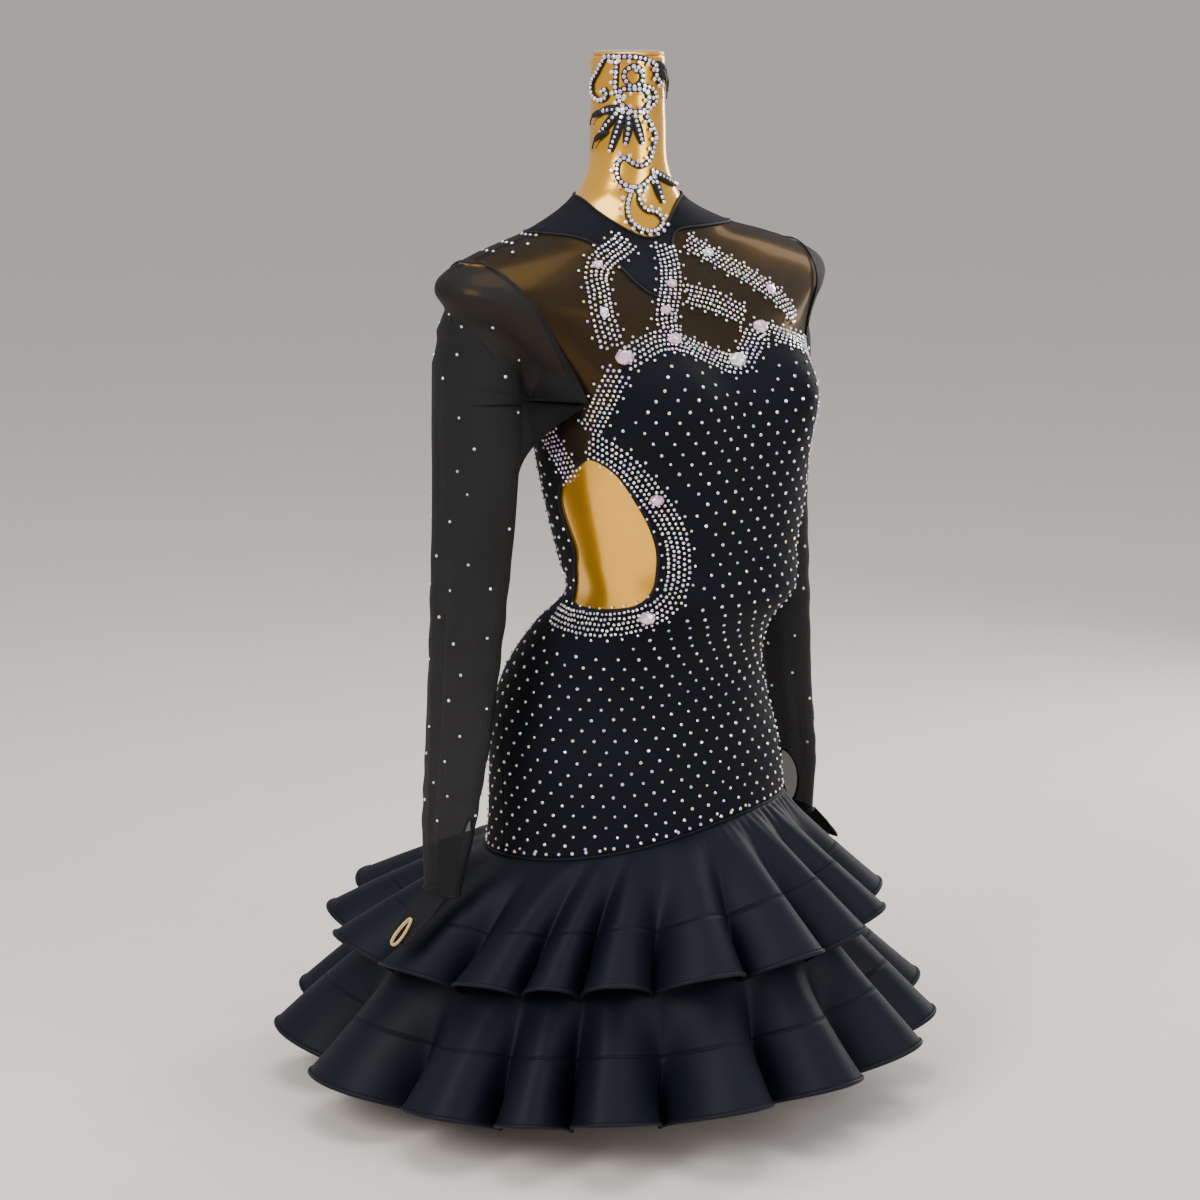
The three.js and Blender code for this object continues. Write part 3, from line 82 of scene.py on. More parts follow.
# ---------------- the form's skin, as a smooth surface
def unit(vectors):
    """Vectors of length one."""
    return vectors / np.linalg.norm(vectors, axis=-1, keepdims=True)


def read_sections():
    """Level, half width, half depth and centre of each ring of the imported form."""
    points = np.array([v.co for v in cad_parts["form_torso"].data.vertices]) * 1000
    rows = []
    for level in np.unique(np.round(points[:, 2], 1)):
        ring = points[np.abs(points[:, 2] - level) < 0.06]
        ring = ring[np.hypot(*(ring[:, :2] - ring[:, :2].mean(0)).T) > 8]
        low, high = ring[:, 0].min(), ring[:, 0].max()
        centre_y = ring[ring[:, 0].argmax(), 1]
        half_depth = ring[:, 1].max() - centre_y
        rows.append((ring[:, 2].mean(), (high - low) / 2, half_depth, (high + low) / 2, centre_y))
    return np.array(rows)


SECTIONS = read_sections()
LEVELS = SECTIONS[:, 0]
RUNS = np.diff(LEVELS)
STEPS = np.diff(SECTIONS[:, 1:], axis=0) / RUNS[:, None]
SLOPES = np.vstack([
    STEPS[:1],
    (STEPS[:-1] * RUNS[1:, None] + STEPS[1:] * RUNS[:-1, None]) / (RUNS[1:] + RUNS[:-1])[:, None],
    STEPS[-1:],
])


def section_at(level):
    """Half width, half depth and centre at any level, along a smooth curve through the rings."""
    level = np.clip(level, LEVELS[0], LEVELS[-1])
    i = np.clip(np.searchsorted(LEVELS, level, side="right") - 1, 0, len(LEVELS) - 2)
    run = RUNS[i][:, None]
    t = ((level - LEVELS[i]) / RUNS[i])[:, None]
    low, high = SECTIONS[i, 1:], SECTIONS[i + 1, 1:]
    return (
        (2 * t**3 - 3 * t**2 + 1) * low
        + (t**3 - 2 * t**2 + t) * run * SLOPES[i]
        + (3 * t**2 - 2 * t**3) * high
        + (t**3 - t**2) * run * SLOPES[i + 1]
    )


def bare_skin(angle, level):
    half_width, half_depth, shift_x, shift_y = section_at(level).T
    across, along = np.cos(angle), np.sin(angle)
    power = (np.abs(across / half_width) ** SECTION_POWER + np.abs(along / half_depth) ** SECTION_POWER)
    radius = power ** (-1 / SECTION_POWER)
    x, y = radius * across, radius * along
    for side in (-1, 1):
        distance = (x - side * BREAST_SPACING) ** 2 + (level - BUST_LEVEL) ** 2
        y = y - BREAST_DEPTH * np.exp(-distance / (2 * BREAST_SPREAD**2)) * np.clip(-1.5 * along, 0, 1)
    return np.stack([shift_x + x, shift_y + y, level], axis=1)


def skin(degrees, level, lift=0.0):
    """Points, in millimetres, and outward normals of the skin at angles and levels."""
    angle = np.radians(np.atleast_1d(np.asarray(degrees, float)))
    level = np.broadcast_to(np.asarray(level, float), angle.shape)
    turn, rise = 0.01, 0.8
    above, below = np.minimum(level + rise, LEVELS[-1]), np.maximum(level - rise, LEVELS[0])
    around = bare_skin(angle + turn, level) - bare_skin(angle - turn, level)
    up = bare_skin(angle, above) - bare_skin(angle, below)
    normal = unit(np.cross(around, up))
    return bare_skin(angle, level) + normal * np.broadcast_to(lift, angle.shape)[:, None], normal


def on_skin(line, lift=0.0):
    """Points and normals of the skin along a line of [angle, level]."""
    return skin(line[:, 0], line[:, 1], lift)


# ---------------- materials
CLOUD_SCALE = 14
RELIEF_DEPTH = 0.0006


def material(name, color, roughness, metallic=0.0, grain=None, weave=None, vary=0.3, bump=0.4, sheen=0.0,
             coat=0.0, alpha=1.0, specular=0.5):
    """A procedural finish: colour and roughness vary with noise, and a grain or weave gives the bump."""
    mat = bpy.data.materials.new(name)
    mat.use_nodes = True
    nodes, links = mat.node_tree.nodes, mat.node_tree.links
    shader = nodes["Principled BSDF"]
    settings = {
        "Metallic": metallic, "Alpha": alpha, "Coat Weight": coat, "Coat Roughness": 0.06,
        "Sheen Weight": sheen, "Sheen Roughness": 0.45, "Specular IOR Level": specular,
    }
    for label, value in settings.items():
        shader.inputs[label].default_value = value
    place = nodes.new("ShaderNodeTexCoord").outputs["Object"]

    def fed_node(kind, source, socket, values=()):
        node = nodes.new(kind)
        links.new(source, node.inputs[socket])
        for label, value in values:
            node.inputs[label].default_value = value
        return node

    cloud = fed_node("ShaderNodeTexNoise", place, "Vector", [("Scale", CLOUD_SCALE), ("Detail", 5)])
    ramp = fed_node("ShaderNodeValToRGB", cloud.outputs["Fac"], "Fac")
    dark, light = ramp.color_ramp.elements
    dark.color = (*[c * (1 - vary) for c in color], 1)
    light.color = (*[min(1, c * (1 + vary)) for c in color], 1)
    dark.position, light.position = 0.3, 0.7
    links.new(ramp.outputs["Color"], shader.inputs["Base Color"])
    limits = [("To Min", roughness * 0.85), ("To Max", min(1, roughness * 1.15))]
    rough = fed_node("ShaderNodeMapRange", cloud.outputs["Fac"], "Value", limits)
    links.new(rough.outputs["Result"], shader.inputs["Roughness"])
    if weave:
        bands = []
        for direction in ("X", "Z"):
            wave = fed_node("ShaderNodeTexWave", place, "Vector", [("Scale", weave), ("Distortion", 0.6)])
            wave.bands_direction = direction
            bands.append(wave.outputs["Fac"])
        both = fed_node("ShaderNodeMath", bands[0], 0)
        both.operation = "MULTIPLY"
        links.new(bands[1], both.inputs[1])
        fine = both.outputs["Value"]
    else:
        noise = fed_node("ShaderNodeTexNoise", place, "Vector", [("Scale", grain), ("Detail", 3)])
        fine = noise.outputs["Fac"]
    relief = fed_node("ShaderNodeBump", fine, "Height", [("Strength", bump), ("Distance", RELIEF_DEPTH)])
    links.new(relief.outputs["Normal"], shader.inputs["Normal"])
    return mat


GOLD = material("gold_lacquer", (0.88, 0.44, 0.02), 0.25, metallic=0.8, grain=60, vary=0.06, bump=0.03,
                coat=1.0)
JERSEY = material("matte_jersey", (0.002, 0.0026, 0.0058), 0.78, grain=1600, bump=0.25, specular=0.14)
CREPE = material("satin_crepe", (0.0022, 0.0036, 0.0085), 0.58, grain=1300, vary=0.15, bump=0.2,
                 specular=0.16)
CREPE_SEAM = material("crepe_seam", (0.003, 0.0045, 0.0095), 0.58, grain=900, vary=0.2, bump=0.3,
                      specular=0.18)
MESH = material("sheer_mesh", (0.004, 0.0032, 0.003), 0.8, weave=420, bump=0.3, alpha=0.82, specular=0.15)
SLEEVE = material("sleeve_mesh", (0.005, 0.0052, 0.006), 0.7, weave=420, vary=0.5, alpha=0.9, specular=0.22)
CORD = material("black_cord", (0.005, 0.005, 0.007), 0.55, grain=1500, bump=0.5, sheen=0.05, specular=0.3)
EDGE = material("binding_elastic", (0.003, 0.003, 0.0045), 0.6, grain=1800, sheen=0.03, specular=0.2)
ELASTIC = material("nude_elastic", (0.62, 0.43, 0.17), 0.55, weave=900, vary=0.12, sheen=0.2)
ZIP = material("zip_nylon", (0.012, 0.012, 0.015), 0.35, grain=500, vary=0.2, bump=0.15)
ZIP_METAL = material("zip_enamel", (0.02, 0.02, 0.024), 0.25, metallic=0.4, grain=300, vary=0.2, bump=0.08,
                     coat=0.5)
STEEL = material("brushed_steel", (0.45, 0.45, 0.47), 0.3, metallic=1.0, grain=700, vary=0.12, bump=0.12)
LINING = material("flap_net", (0.008, 0.008, 0.01), 0.8, weave=300, alpha=0.95, specular=0.2)
GEM_COLORS = {
    "white": (0.97, 0.97, 1.0), "pink": (0.9, 0.62, 0.78), "lilac": (0.66, 0.55, 0.95),
    "yellow": (0.95, 0.88, 0.55), "aqua": (0.55, 0.85, 0.9),
}
GEMS = [
    material(f"gem_{name}", color, 0.12, metallic=0.55, grain=200, vary=0.08, bump=0.02, coat=1.0)
    for name, color in GEM_COLORS.items()
]
GEM_ODDS = (0.56, 0.12, 0.12, 0.12, 0.08)


# ---------------- mesh helpers
def add_mesh(name, points, faces, mats, body=ROOT, smooth=True, slots=None):
    mesh = bpy.data.meshes.new(name)
    mesh.from_pydata([tuple(p) for p in np.asarray(points, float) * MM], [], [tuple(f) for f in faces])
    for mat in mats if isinstance(mats, (list, tuple)) else [mats]:
        mesh.materials.append(mat)
    mesh.polygons.foreach_set("use_smooth", [smooth] * len(mesh.polygons))
    if slots is not None:
        mesh.polygons.foreach_set("material_index", slots)
    mesh.update()
    piece = bpy.data.objects.new(name, mesh)
    bpy.context.scene.collection.objects.link(piece)
    if body:
        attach(piece, body)
    return piece


def grid_faces(rows, columns, wrap=True, inward=False):
    faces = []
    for i in range(rows - 1):
        for j in range(columns if wrap else columns - 1):
            k = (j + 1) % columns
            low, high = i * columns, (i + 1) * columns
            face = (low + j, low + k, high + k, high + j)
            faces.append(face[::-1] if inward else face)
    return faces


def keep_used(points, faces):
    """The points that the faces use, and the faces renumbered for them."""
    used = sorted({i for face in faces for i in face})
    renumber = {old: new for new, old in enumerate(used)}
    return points[used], [tuple(renumber[i] for i in face) for face in faces]


def tube(path, radius, sides=8, closed=False, normals=None, flat=1.0):
    """Points and faces of a round or flattened cord along a path, in millimetres."""
    path = np.asarray(path, float)
    count = len(path)
    if closed:
        tangent = unit(np.roll(path, -1, 0) - np.roll(path, 1, 0))
    else:
        tangent = unit(np.gradient(path, axis=0))
    if normals is None:
        normals = np.tile([0.3, 0.9, 0.31], (count, 1))
    side = unit(np.cross(tangent, normals))
    up = np.cross(side, tangent)
    radius = np.broadcast_to(radius, (count,))[:, None]
    points = []
    for k in range(sides):
        spin = 2 * math.pi * k / sides
        points.append(path + side * radius * math.cos(spin) + up * radius * flat * math.sin(spin))
    points = np.stack(points, 1).reshape(-1, 3)
    faces = grid_faces(count, sides)
    last = (count - 1) * sides
    if closed:
        faces += [(last + k, last + (k + 1) % sides, (k + 1) % sides, k) for k in range(sides)]
    else:
        faces += [tuple(range(sides))[::-1], tuple(last + k for k in range(sides))]
    return points, faces


def join(parts):
    """One list of points and faces from several."""
    points, faces, start = [], [], 0
    for part_points, part_faces in parts:
        points.append(np.asarray(part_points))
        faces += [tuple(i + start for i in f) for f in part_faces]
        start += len(part_points)
    return np.vstack(points), faces


def spline(stops, count, closed=False):
    """A smooth line through stops of any number of coordinates."""
    stops = np.asarray(stops, float)
    last = len(stops) if closed else len(stops) - 1
    line = []
    for i in range(count):
        at = last * i / (count if closed else count - 1)
        k = min(int(at), last - 1)
        t = at - k
        near = range(k - 1, k + 3)
        a, b, c, d = (stops[j % len(stops) if closed else min(max(j, 0), last)] for j in near)
        line.append(0.5 * (
            2 * b + (c - a) * t + (2 * a - 5 * b + 4 * c - d) * t**2 + (3 * b - a - 3 * c + d) * t**3
        ))
    return np.array(line)


def even(line, pitch, lift=0.0, closed=False):
    """The [angle, level] points spaced evenly along a seam line on the skin."""
    points = on_skin(line, lift)[0]
    if closed:
        line, points = np.vstack([line, line[:1]]), np.vstack([points, points[:1]])
    reach = np.concatenate([[0], np.cumsum(np.linalg.norm(np.diff(points, axis=0), axis=1))])
    count = max(2, int(round(reach[-1] / pitch)) + (0 if closed else 1))
    at = np.linspace(0, reach[-1], count, endpoint=not closed)
    return np.stack([np.interp(at, reach, line[:, 0]), np.interp(at, reach, line[:, 1])], 1)


# ---------------- seams, as [angle, level]
def bump(angle, centre, width):
    away = (np.asarray(angle) - centre + 180) % 360 - 180
    return np.exp(-((away / width) ** 2))


def hip_seam(angle):
    return 88 + 21 * np.cos(np.radians(np.asarray(angle) + 50))


def collar_base(angle):
    return 662 - 56 * bump(angle, -119, 24) - 14 * bump(angle, 90, 50)


def collar_top(angle):
    return 692 - 37 * bump(angle, -112, 42)


NECKLINE = [(-143, 557), (-132, 570), (-120, 570), (-104, 556), (-86, 545), (-73, 558), (-61, 571),
            (-48, 562), (-30, 545), (-12, 530), (2, 524)]
SIDE_BAND = [(-143, 557), (-149, 533), (-157, 508), (-163, 486), (-164, 466)]
CUTOUT = [(-164, 463), (-172, 454), (-182, 434), (-186, 413), (-184, 390), (-182, 370), (-186, 350),
          (-192, 330), (-191, 318), (-180, 316), (-164, 319), (-152, 326), (-143, 346), (-140, 372),
          (-142, 398), (-147, 424), (-154, 450)]
BACK_NECKLINE = [(-176, 446), (-189, 486), (-205, 528), (-230, 556), (-270, 566), (-310, 556), (-340, 534),
                 (-360, 524), (-370, 524)]
ALL_ROUND = np.arange(-270, 90.01, 3.0)
OPEN_ROUND = ALL_ROUND[:-1]
ARMHOLE_FOOT_X = 138
ARMHOLE_INSET = 4


def around(seam, angles=OPEN_ROUND):
    """The line of [angle, level] of a seam that goes round the body."""
    return np.stack([angles, seam(angles)], 1)


def armhole_x(side, level):
    """How far out the leaning armhole plane stands at a level."""
    foot = side * section_at(np.array([float(ARMPIT_LEVEL)]))[0, 2] + ARMHOLE_FOOT_X - ARMHOLE_INSET
    return foot + (SEAM_X - foot) * (level - ARMPIT_LEVEL) / (SEAM_TOP - ARMPIT_LEVEL)


def armhole(side):
    """The seam where the leaning armhole plane meets the skin: up the front, over and down the back."""
    lines = []
    for quarter in (0, 1):
        stops = []
        for level in np.linspace(ARMPIT_LEVEL, SEAM_TOP - 1, 40):
            if side > 0:
                span = np.linspace(-90, 0, 361) if quarter == 0 else np.linspace(90, 0, 361)
            else:
                span = np.linspace(-90, -180, 361) if quarter == 0 else np.linspace(-270, -180, 361)
            reach = side * skin(span, level)[0][:, 0]
            beyond = np.nonzero(reach > armhole_x(side, level))[0]
            if len(beyond):
                stops.append((span[beyond[0]], level))
        lines.append(stops)
    return np.array(lines[0] + lines[1][::-1])


ARMHOLES = {side: armhole(side) for side in (-1, 1)}


# ---------------- fitted cloth, cut by its seams
ANGLE_SCALE = 2.2
CLOTH_FOOT, CLOTH_TOP = 55, 710
CLOTH_TURN, CLOTH_RISE = 3.0, 6.5


def cut_cloth():
    """Triangles of the whole cloth in [angle, level], and the piece each belongs to."""
    points, edges = [], []

    def add_line(line, closed=False):
        start = len(points)
        points.extend((a * ANGLE_SCALE, b) for a, b in line)
        edges.extend((start + i, start + i + 1) for i in range(len(line) - 1))
        if closed:
            edges.append((start + len(line) - 1, start))

    back = spline(BACK_NECKLINE, 60)
    crossing = np.array([[-270, np.interp(270, -back[:, 0], back[:, 1])]])
    right_part = np.vstack([back[back[:, 0] > -270], crossing])
    left_part = np.vstack([crossing, back[back[:, 0] < -270]]) + [360, 0]
    lines = [
        around(hip_seam, ALL_ROUND), around(collar_base, ALL_ROUND), around(collar_top, ALL_ROUND),
        spline(NECKLINE, 70), spline([*SIDE_BAND, (-160, 452)], 30), left_part, right_part,
        spline([(-190, 322), (-188, 180), (-184, 40)], 40),
        spline([(-4, 530), (-4, 400), (-2, 200), (-2, 40)], 60),
        spline([(-180, 676), (-180, 632)], 8), spline([(0, 676), (0, 632)], 8),
        spline([(-184, 524), (-190, 482)], 8), ARMHOLES[-1], ARMHOLES[1],
        np.linspace((-270, CLOTH_FOOT), (-270, CLOTH_TOP), 120),
        np.linspace((90, CLOTH_FOOT), (90, CLOTH_TOP), 120),
        np.linspace(ARMHOLES[-1][0], ARMHOLES[-1][-1], 16), np.linspace(ARMHOLES[1][0], ARMHOLES[1][-1], 16),
    ]
    for line in lines:
        add_line(line)
    add_line(spline(CUTOUT, 110, closed=True), closed=True)
    for row, level in enumerate(np.arange(60, 706, CLOTH_RISE)):
        for angle in np.arange(-270 + (row % 2) * CLOTH_TURN / 2, 90, CLOTH_TURN):
            points.append((angle * ANGLE_SCALE, level))
    flat_points = [Vector(p) for p in points]
    verts, out_edges, faces, _, old_edges, _ = delaunay_2d_cdt(flat_points, edges, [], 0, 1e-4)
    seams = {tuple(sorted(e)) for e, old in zip(out_edges, old_edges) if old}
    beside = {}
    for i, face in enumerate(faces):
        for a, b in zip(face, face[1:] + face[:1]):
            key = (min(a, b), max(a, b))
            if key not in seams:
                beside.setdefault(key, []).append(i)
    links = [[] for _ in faces]
    for pair in beside.values():
        if len(pair) == 2:
            links[pair[0]].append(pair[1])
            links[pair[1]].append(pair[0])
    piece = [-1] * len(faces)
    for start in range(len(faces)):
        if piece[start] >= 0:
            continue
        stack = [start]
        piece[start] = start
        while stack:
            for other in links[stack.pop()]:
                if piece[other] < 0:
                    piece[other] = start
                    stack.append(other)
    flat = np.array([(v[0] / ANGLE_SCALE, v[1]) for v in verts])
    return flat, [tuple(f) for f in faces], piece


CLOTH_FLAT, CLOTH_FACES, CLOTH_PIECE = cut_cloth()
cloth_tree = KDTree(len(CLOTH_FACES))
for face_index, face in enumerate(CLOTH_FACES):
    centre = CLOTH_FLAT[list(face)].mean(0)
    cloth_tree.insert((centre[0] * ANGLE_SCALE, centre[1], 0), face_index)

cloth_tree.balance()


def piece_at(angle, level):
    angle = (angle + 270) % 360 - 270
    return CLOTH_PIECE[cloth_tree.find((angle * ANGLE_SCALE, level, 0))[1]]


def thicken(piece, thickness, offset=-1.0):
    solid = piece.modifiers.new("thickness", "SOLIDIFY")
    solid.thickness = thickness * MM
    solid.offset = offset


def surface_area(piece):
    mesh = piece.data
    mesh.calc_loop_triangles()
    return sum(t.area for t in mesh.loop_triangles)


def declare_cloth(piece):
    """Measures the developed area of a cut piece from its own surface; the value is not kept."""
    area = surface_area(piece)


# each panel is the part of the cloth that lies under one [angle, level]
PANELS = {
    "collar": (-60, 676, JERSEY), "front_yoke": (-90, 590, MESH), "back_yoke_right": (-240, 600, MESH),
    "back_yoke_left": (60, 600, MESH), "bodice_front": (-80, 400, JERSEY),
    "bodice_back_right": (-240, 400, JERSEY), "bodice_back_left": (60, 400, JERSEY),
}
JERSEY_LIFT, MESH_LIFT = 1.3, 1.0
JERSEY_THICKNESS = 0.6
panels = {}
for node, (angle, level, mat) in PANELS.items():
    wanted = piece_at(angle, level)
    faces = [f for f, p in zip(CLOTH_FACES, CLOTH_PIECE) if p == wanted]
    flat, faces = keep_used(CLOTH_FLAT, faces)
    name = f"panel_{node}"
    panels[name] = add_mesh(name, on_skin(flat, JERSEY_LIFT if mat is JERSEY else MESH_LIFT)[0], faces, mat)
    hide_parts(node)
    declare_cloth(panels[name])
    if mat is JERSEY:
        thicken(panels[name], JERSEY_THICKNESS)


# ---------------- the gold form
levels = np.unique(np.concatenate([np.linspace(LEVELS[0], 640, 90), np.linspace(640, NECK_TOP, 60)]))
angles = np.linspace(0, 360, 128, endpoint=False)
rings = [skin(angles, level)[0] for level in levels]
rings[0] = rings[0] * [0.985, 0.985, 1]
skin_points = np.vstack([*rings, rings[0].mean(0), rings[-1].mean(0)])
count = len(angles)
caps = [(len(levels) * count, (j + 1) % count, j) for j in range(count)]
top = (len(levels) - 1) * count
caps += [(len(levels) * count + 1, top + j, top + (j + 1) % count) for j in range(count)]
form = add_mesh("skin_of_form", skin_points, grid_faces(len(levels), count) + caps, GOLD)
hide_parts("form_torso")

cap_profile = [(0.94, 0.35), (0.985, 1.0), (0.995, 2.2), (0.97, 3.4), (0.9, 4.15), (0.7, 4.35), (0.3, 4.35)]
cap_ring = skin(angles, NECK_TOP)[0]
cap_points = [cap_ring * [share, share, 1] + [0, 0, rise] for share, rise in cap_profile]
cap_points = np.vstack([*cap_points, [0, 0, NECK_TOP + cap_profile[-1][1]]])
cap_faces = grid_faces(len(cap_profile), count)
top = (len(cap_profile) - 1) * count
cap_faces += [(top + j, top + (j + 1) % count, len(cap_points) - 1) for j in range(count)]
neck_cap = add_mesh("neck_cap", cap_points, cap_faces, GOLD)
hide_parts("form_neck_cap")

# CAD nodes that are kept as they are, with a new finish
REFINISHED = [
    (GOLD, ["form_base_plate"]),
    (STEEL, ["stand_flange", "base_screw_1", "base_screw_2", "base_screw_3", "collar_eye", "collar_hook"]),
    (ZIP_METAL, ["zip_bottom_stop", "zip_top_stop", "zip_slider", "zip_pull"]),
]
for mat, nodes in REFINISHED:
    for node in nodes:
        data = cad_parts[node].data
        data.materials.clear()
        data.materials.append(mat)


# ---------------- edges and seams
def seam_cord(name, lines, radius, lift, flat=0.6, nodes=(), closed=False):
    parts = []
    for line in lines:
        path, normal = on_skin(even(line, 4.0, closed=closed), lift)
        parts.append(tube(path, radius, 8, closed, normal, flat))
    piece = add_mesh(name, *join(parts), EDGE)
    if nodes:
        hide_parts(*nodes)


seam_cord("cutout_edge", [spline(CUTOUT, 140, closed=True)], 1.7, 1.5, 0.7, ["cutout_binding"], closed=True)
seam_cord("hip_seam_cord", [around(hip_seam)], 1.1, 1.5, closed=True)
seam_cord("collar_edges", [around(collar_top), around(collar_base)], 1.2, 1.6, closed=True)
seam_cord("armhole_seams", [ARMHOLES[-1], ARMHOLES[1]], 1.3, 1.8)
UPRIGHT_SEAMS = [
    ([(-190, 312), (-188, 180), (-186, 82)], 30), ([(-4, 522), (-4, 400), (-2, 200), (-2, 103)], 40),
    ([(-180, 672), (-180, 642)], 8), ([(0, 672), (0, 642)], 8),
    ([(90, 526), (90, 560), (90, 686)], 20), ([(90, 340), (90, 200), (90, 76)], 20),
]
back = spline(BACK_NECKLINE, 80)
body_lines = [spline(NECKLINE, 60), spline(SIDE_BAND, 20), back[back[:, 1] > 460]]
body_lines += [spline(stops, count) for stops, count in UPRIGHT_SEAMS]
seam_cord("body_seams", body_lines, 0.7, 1.5)


# ---------------- faceted stones
STONE_SIDES = 8
STONE_BASE, STONE_GIRDLE, STONE_TABLE = -0.15, 0.22, 0.72
TABLE_SHARE = 0.56


def stone_ring(turn, share, height):
    spins = 2 * np.pi * np.arange(STONE_SIDES) / STONE_SIDES + turn
    return np.stack([share * np.cos(spins), share * np.sin(spins), np.full(STONE_SIDES, height)], 1)


STONE_SHAPE = np.vstack([
    stone_ring(0, 1, STONE_BASE), stone_ring(0, 1, STONE_GIRDLE),
    stone_ring(np.pi / 8, TABLE_SHARE, STONE_TABLE),
])
PAIRS = [(j, (j + 1) % STONE_SIDES) for j in range(STONE_SIDES)]
GIRDLE, TABLE = STONE_SIDES, 2 * STONE_SIDES
STONE_FACES = [tuple(reversed(range(STONE_SIDES))), *grid_faces(2, STONE_SIDES)]
STONE_FACES += [(GIRDLE + j, GIRDLE + k, TABLE + j) for j, k in PAIRS]
STONE_FACES += [(GIRDLE + k, TABLE + k, TABLE + j) for j, k in PAIRS]
STONE_FACES += [tuple(range(TABLE, TABLE + STONE_SIDES))]


def stones(name, seats, sizes, body=ROOT, odds=GEM_ODDS, squash=None, nodes=()):
    """Glued stones: seats are (points, normals) in millimetres."""
    points, normals = seats
    all_points, faces, slots = [], [], []
    for i, (point, normal) in enumerate(zip(points, normals)):
        tilt = np.array([rng.gauss(0, 0.07) for _ in range(3)])
        up = unit(normal + tilt)
        helper = np.array([0, 0, 1.0]) if abs(up[2]) < 0.9 else np.array([1.0, 0, 0])
        side = unit(np.cross(helper, up))
        along = np.cross(up, side)
        spin = rng.uniform(0, math.pi / 4) if squash is None else 0
        cos, sin = math.cos(spin), math.sin(spin)
        side, along = side * cos + along * sin, along * cos - side * sin
        size = sizes[i] if hasattr(sizes, "__len__") else sizes
        wide, tall = (1, 1) if squash is None else squash[i]
        flat_shape = STONE_SHAPE[:, :1] * side * wide + STONE_SHAPE[:, 1:2] * along * tall
        shape = flat_shape + STONE_SHAPE[:, 2:] * up
        start = len(STONE_SHAPE) * i
        all_points.append(point + shape * size)
        faces += [tuple(k + start for k in f) for f in STONE_FACES]
        slots += [rng.choices(range(len(GEMS)), odds)[0]] * len(STONE_FACES)
    piece = add_mesh(name, np.vstack(all_points), faces, GEMS, body, smooth=False, slots=slots)
    if nodes:
        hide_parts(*nodes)
    return piece


BANDS = [
    ("neckline", [*NECKLINE[:8], (-38, 553), (-26, 543), (-14, 532)], -2),
    ("side", [(-146, 545), (-150, 533), (-158, 508), (-163, 490)], 0),
    ("cutout", [(-164, 478), (-153, 463), (-144, 440), (-136, 412), (-131, 384), (-131, 356), (-137, 332),
                (-147, 314), (-162, 305), (-178, 303), (-196, 304)], 0),
    ("collar_right", [(-134, 654), (-147, 637), (-146, 610), (-145, 582), (-145, 569)], 0),
    ("collar_centre", [(-100, 648), (-104, 630), (-111, 611), (-118, 594), (-121, 580)], 0),
    ("collar_left", [(-72, 650), (-60, 638), (-50, 622), (-42, 603), (-35, 576)], 0),
    ("cross", [(-101, 606), (-79, 597), (-66, 584)], 0),
    ("underarm", [(-190, 490), (-183, 470), (-175, 444)], 0),
]
BAND_PITCH = 4.9
BAND_EDGE = 15.2
BAND_GAP_SQUARED = 11
BAND_ODDS, UNDERARM_ODDS = (0.62, 0.1, 0.14, 0.07, 0.07), (0.4, 0.3, 0.22, 0.05, 0.03)
STONE_LIFT = 2.0
taken_points = []
for name, stops, rise in BANDS:
    centre = even(spline(stops, 90) + [0, rise], BAND_PITCH)
    path, normal = on_skin(centre)
    tangent = unit(np.gradient(path, axis=0))
    side = np.cross(tangent, normal)
    angle_rate = on_skin(centre + [1, 0])[0] - path
    level_rate = on_skin(centre + [0, 1])[0] - path
    places, sizes = [], []
    for row in range(-3, 4):
        edge = abs(row) == 3
        for i in range(len(centre)):
            if edge and i % 3 != 1:
                continue
            across = math.copysign(BAND_EDGE, row) if edge else row * BAND_PITCH
            slide = BAND_PITCH / 2 if row % 2 and not edge else 0
            target = side[i] * (across + rng.gauss(0, 0.35)) + tangent[i] * (slide + rng.gauss(0, 0.3))
            # the step in angle and level that comes nearest to the target
            a, b = angle_rate[i], level_rate[i]
            aa, ab, bb, ta, tb = a @ a, a @ b, b @ b, target @ a, target @ b
            scale = aa * bb - ab * ab
            step = np.array([(ta * bb - tb * ab) / scale, (tb * aa - ta * ab) / scale])
            places.append(centre[i] + step)
            sizes.append(1.35 if edge else rng.uniform(1.3, 1.65))
    points, normals = on_skin(np.array(places), STONE_LIFT)
    keep = []
    for i, point in enumerate(points):
        if all((point - other) @ (point - other) > BAND_GAP_SQUARED for other in taken_points[-900:]):
            keep.append(i)
            taken_points.append(point)
    stones(f"stones_{name}", (points[keep], normals[keep]), [sizes[i] for i in keep],
           odds=UNDERARM_ODDS if name == "underarm" else BAND_ODDS, nodes=[f"crystal_band_{name}"])

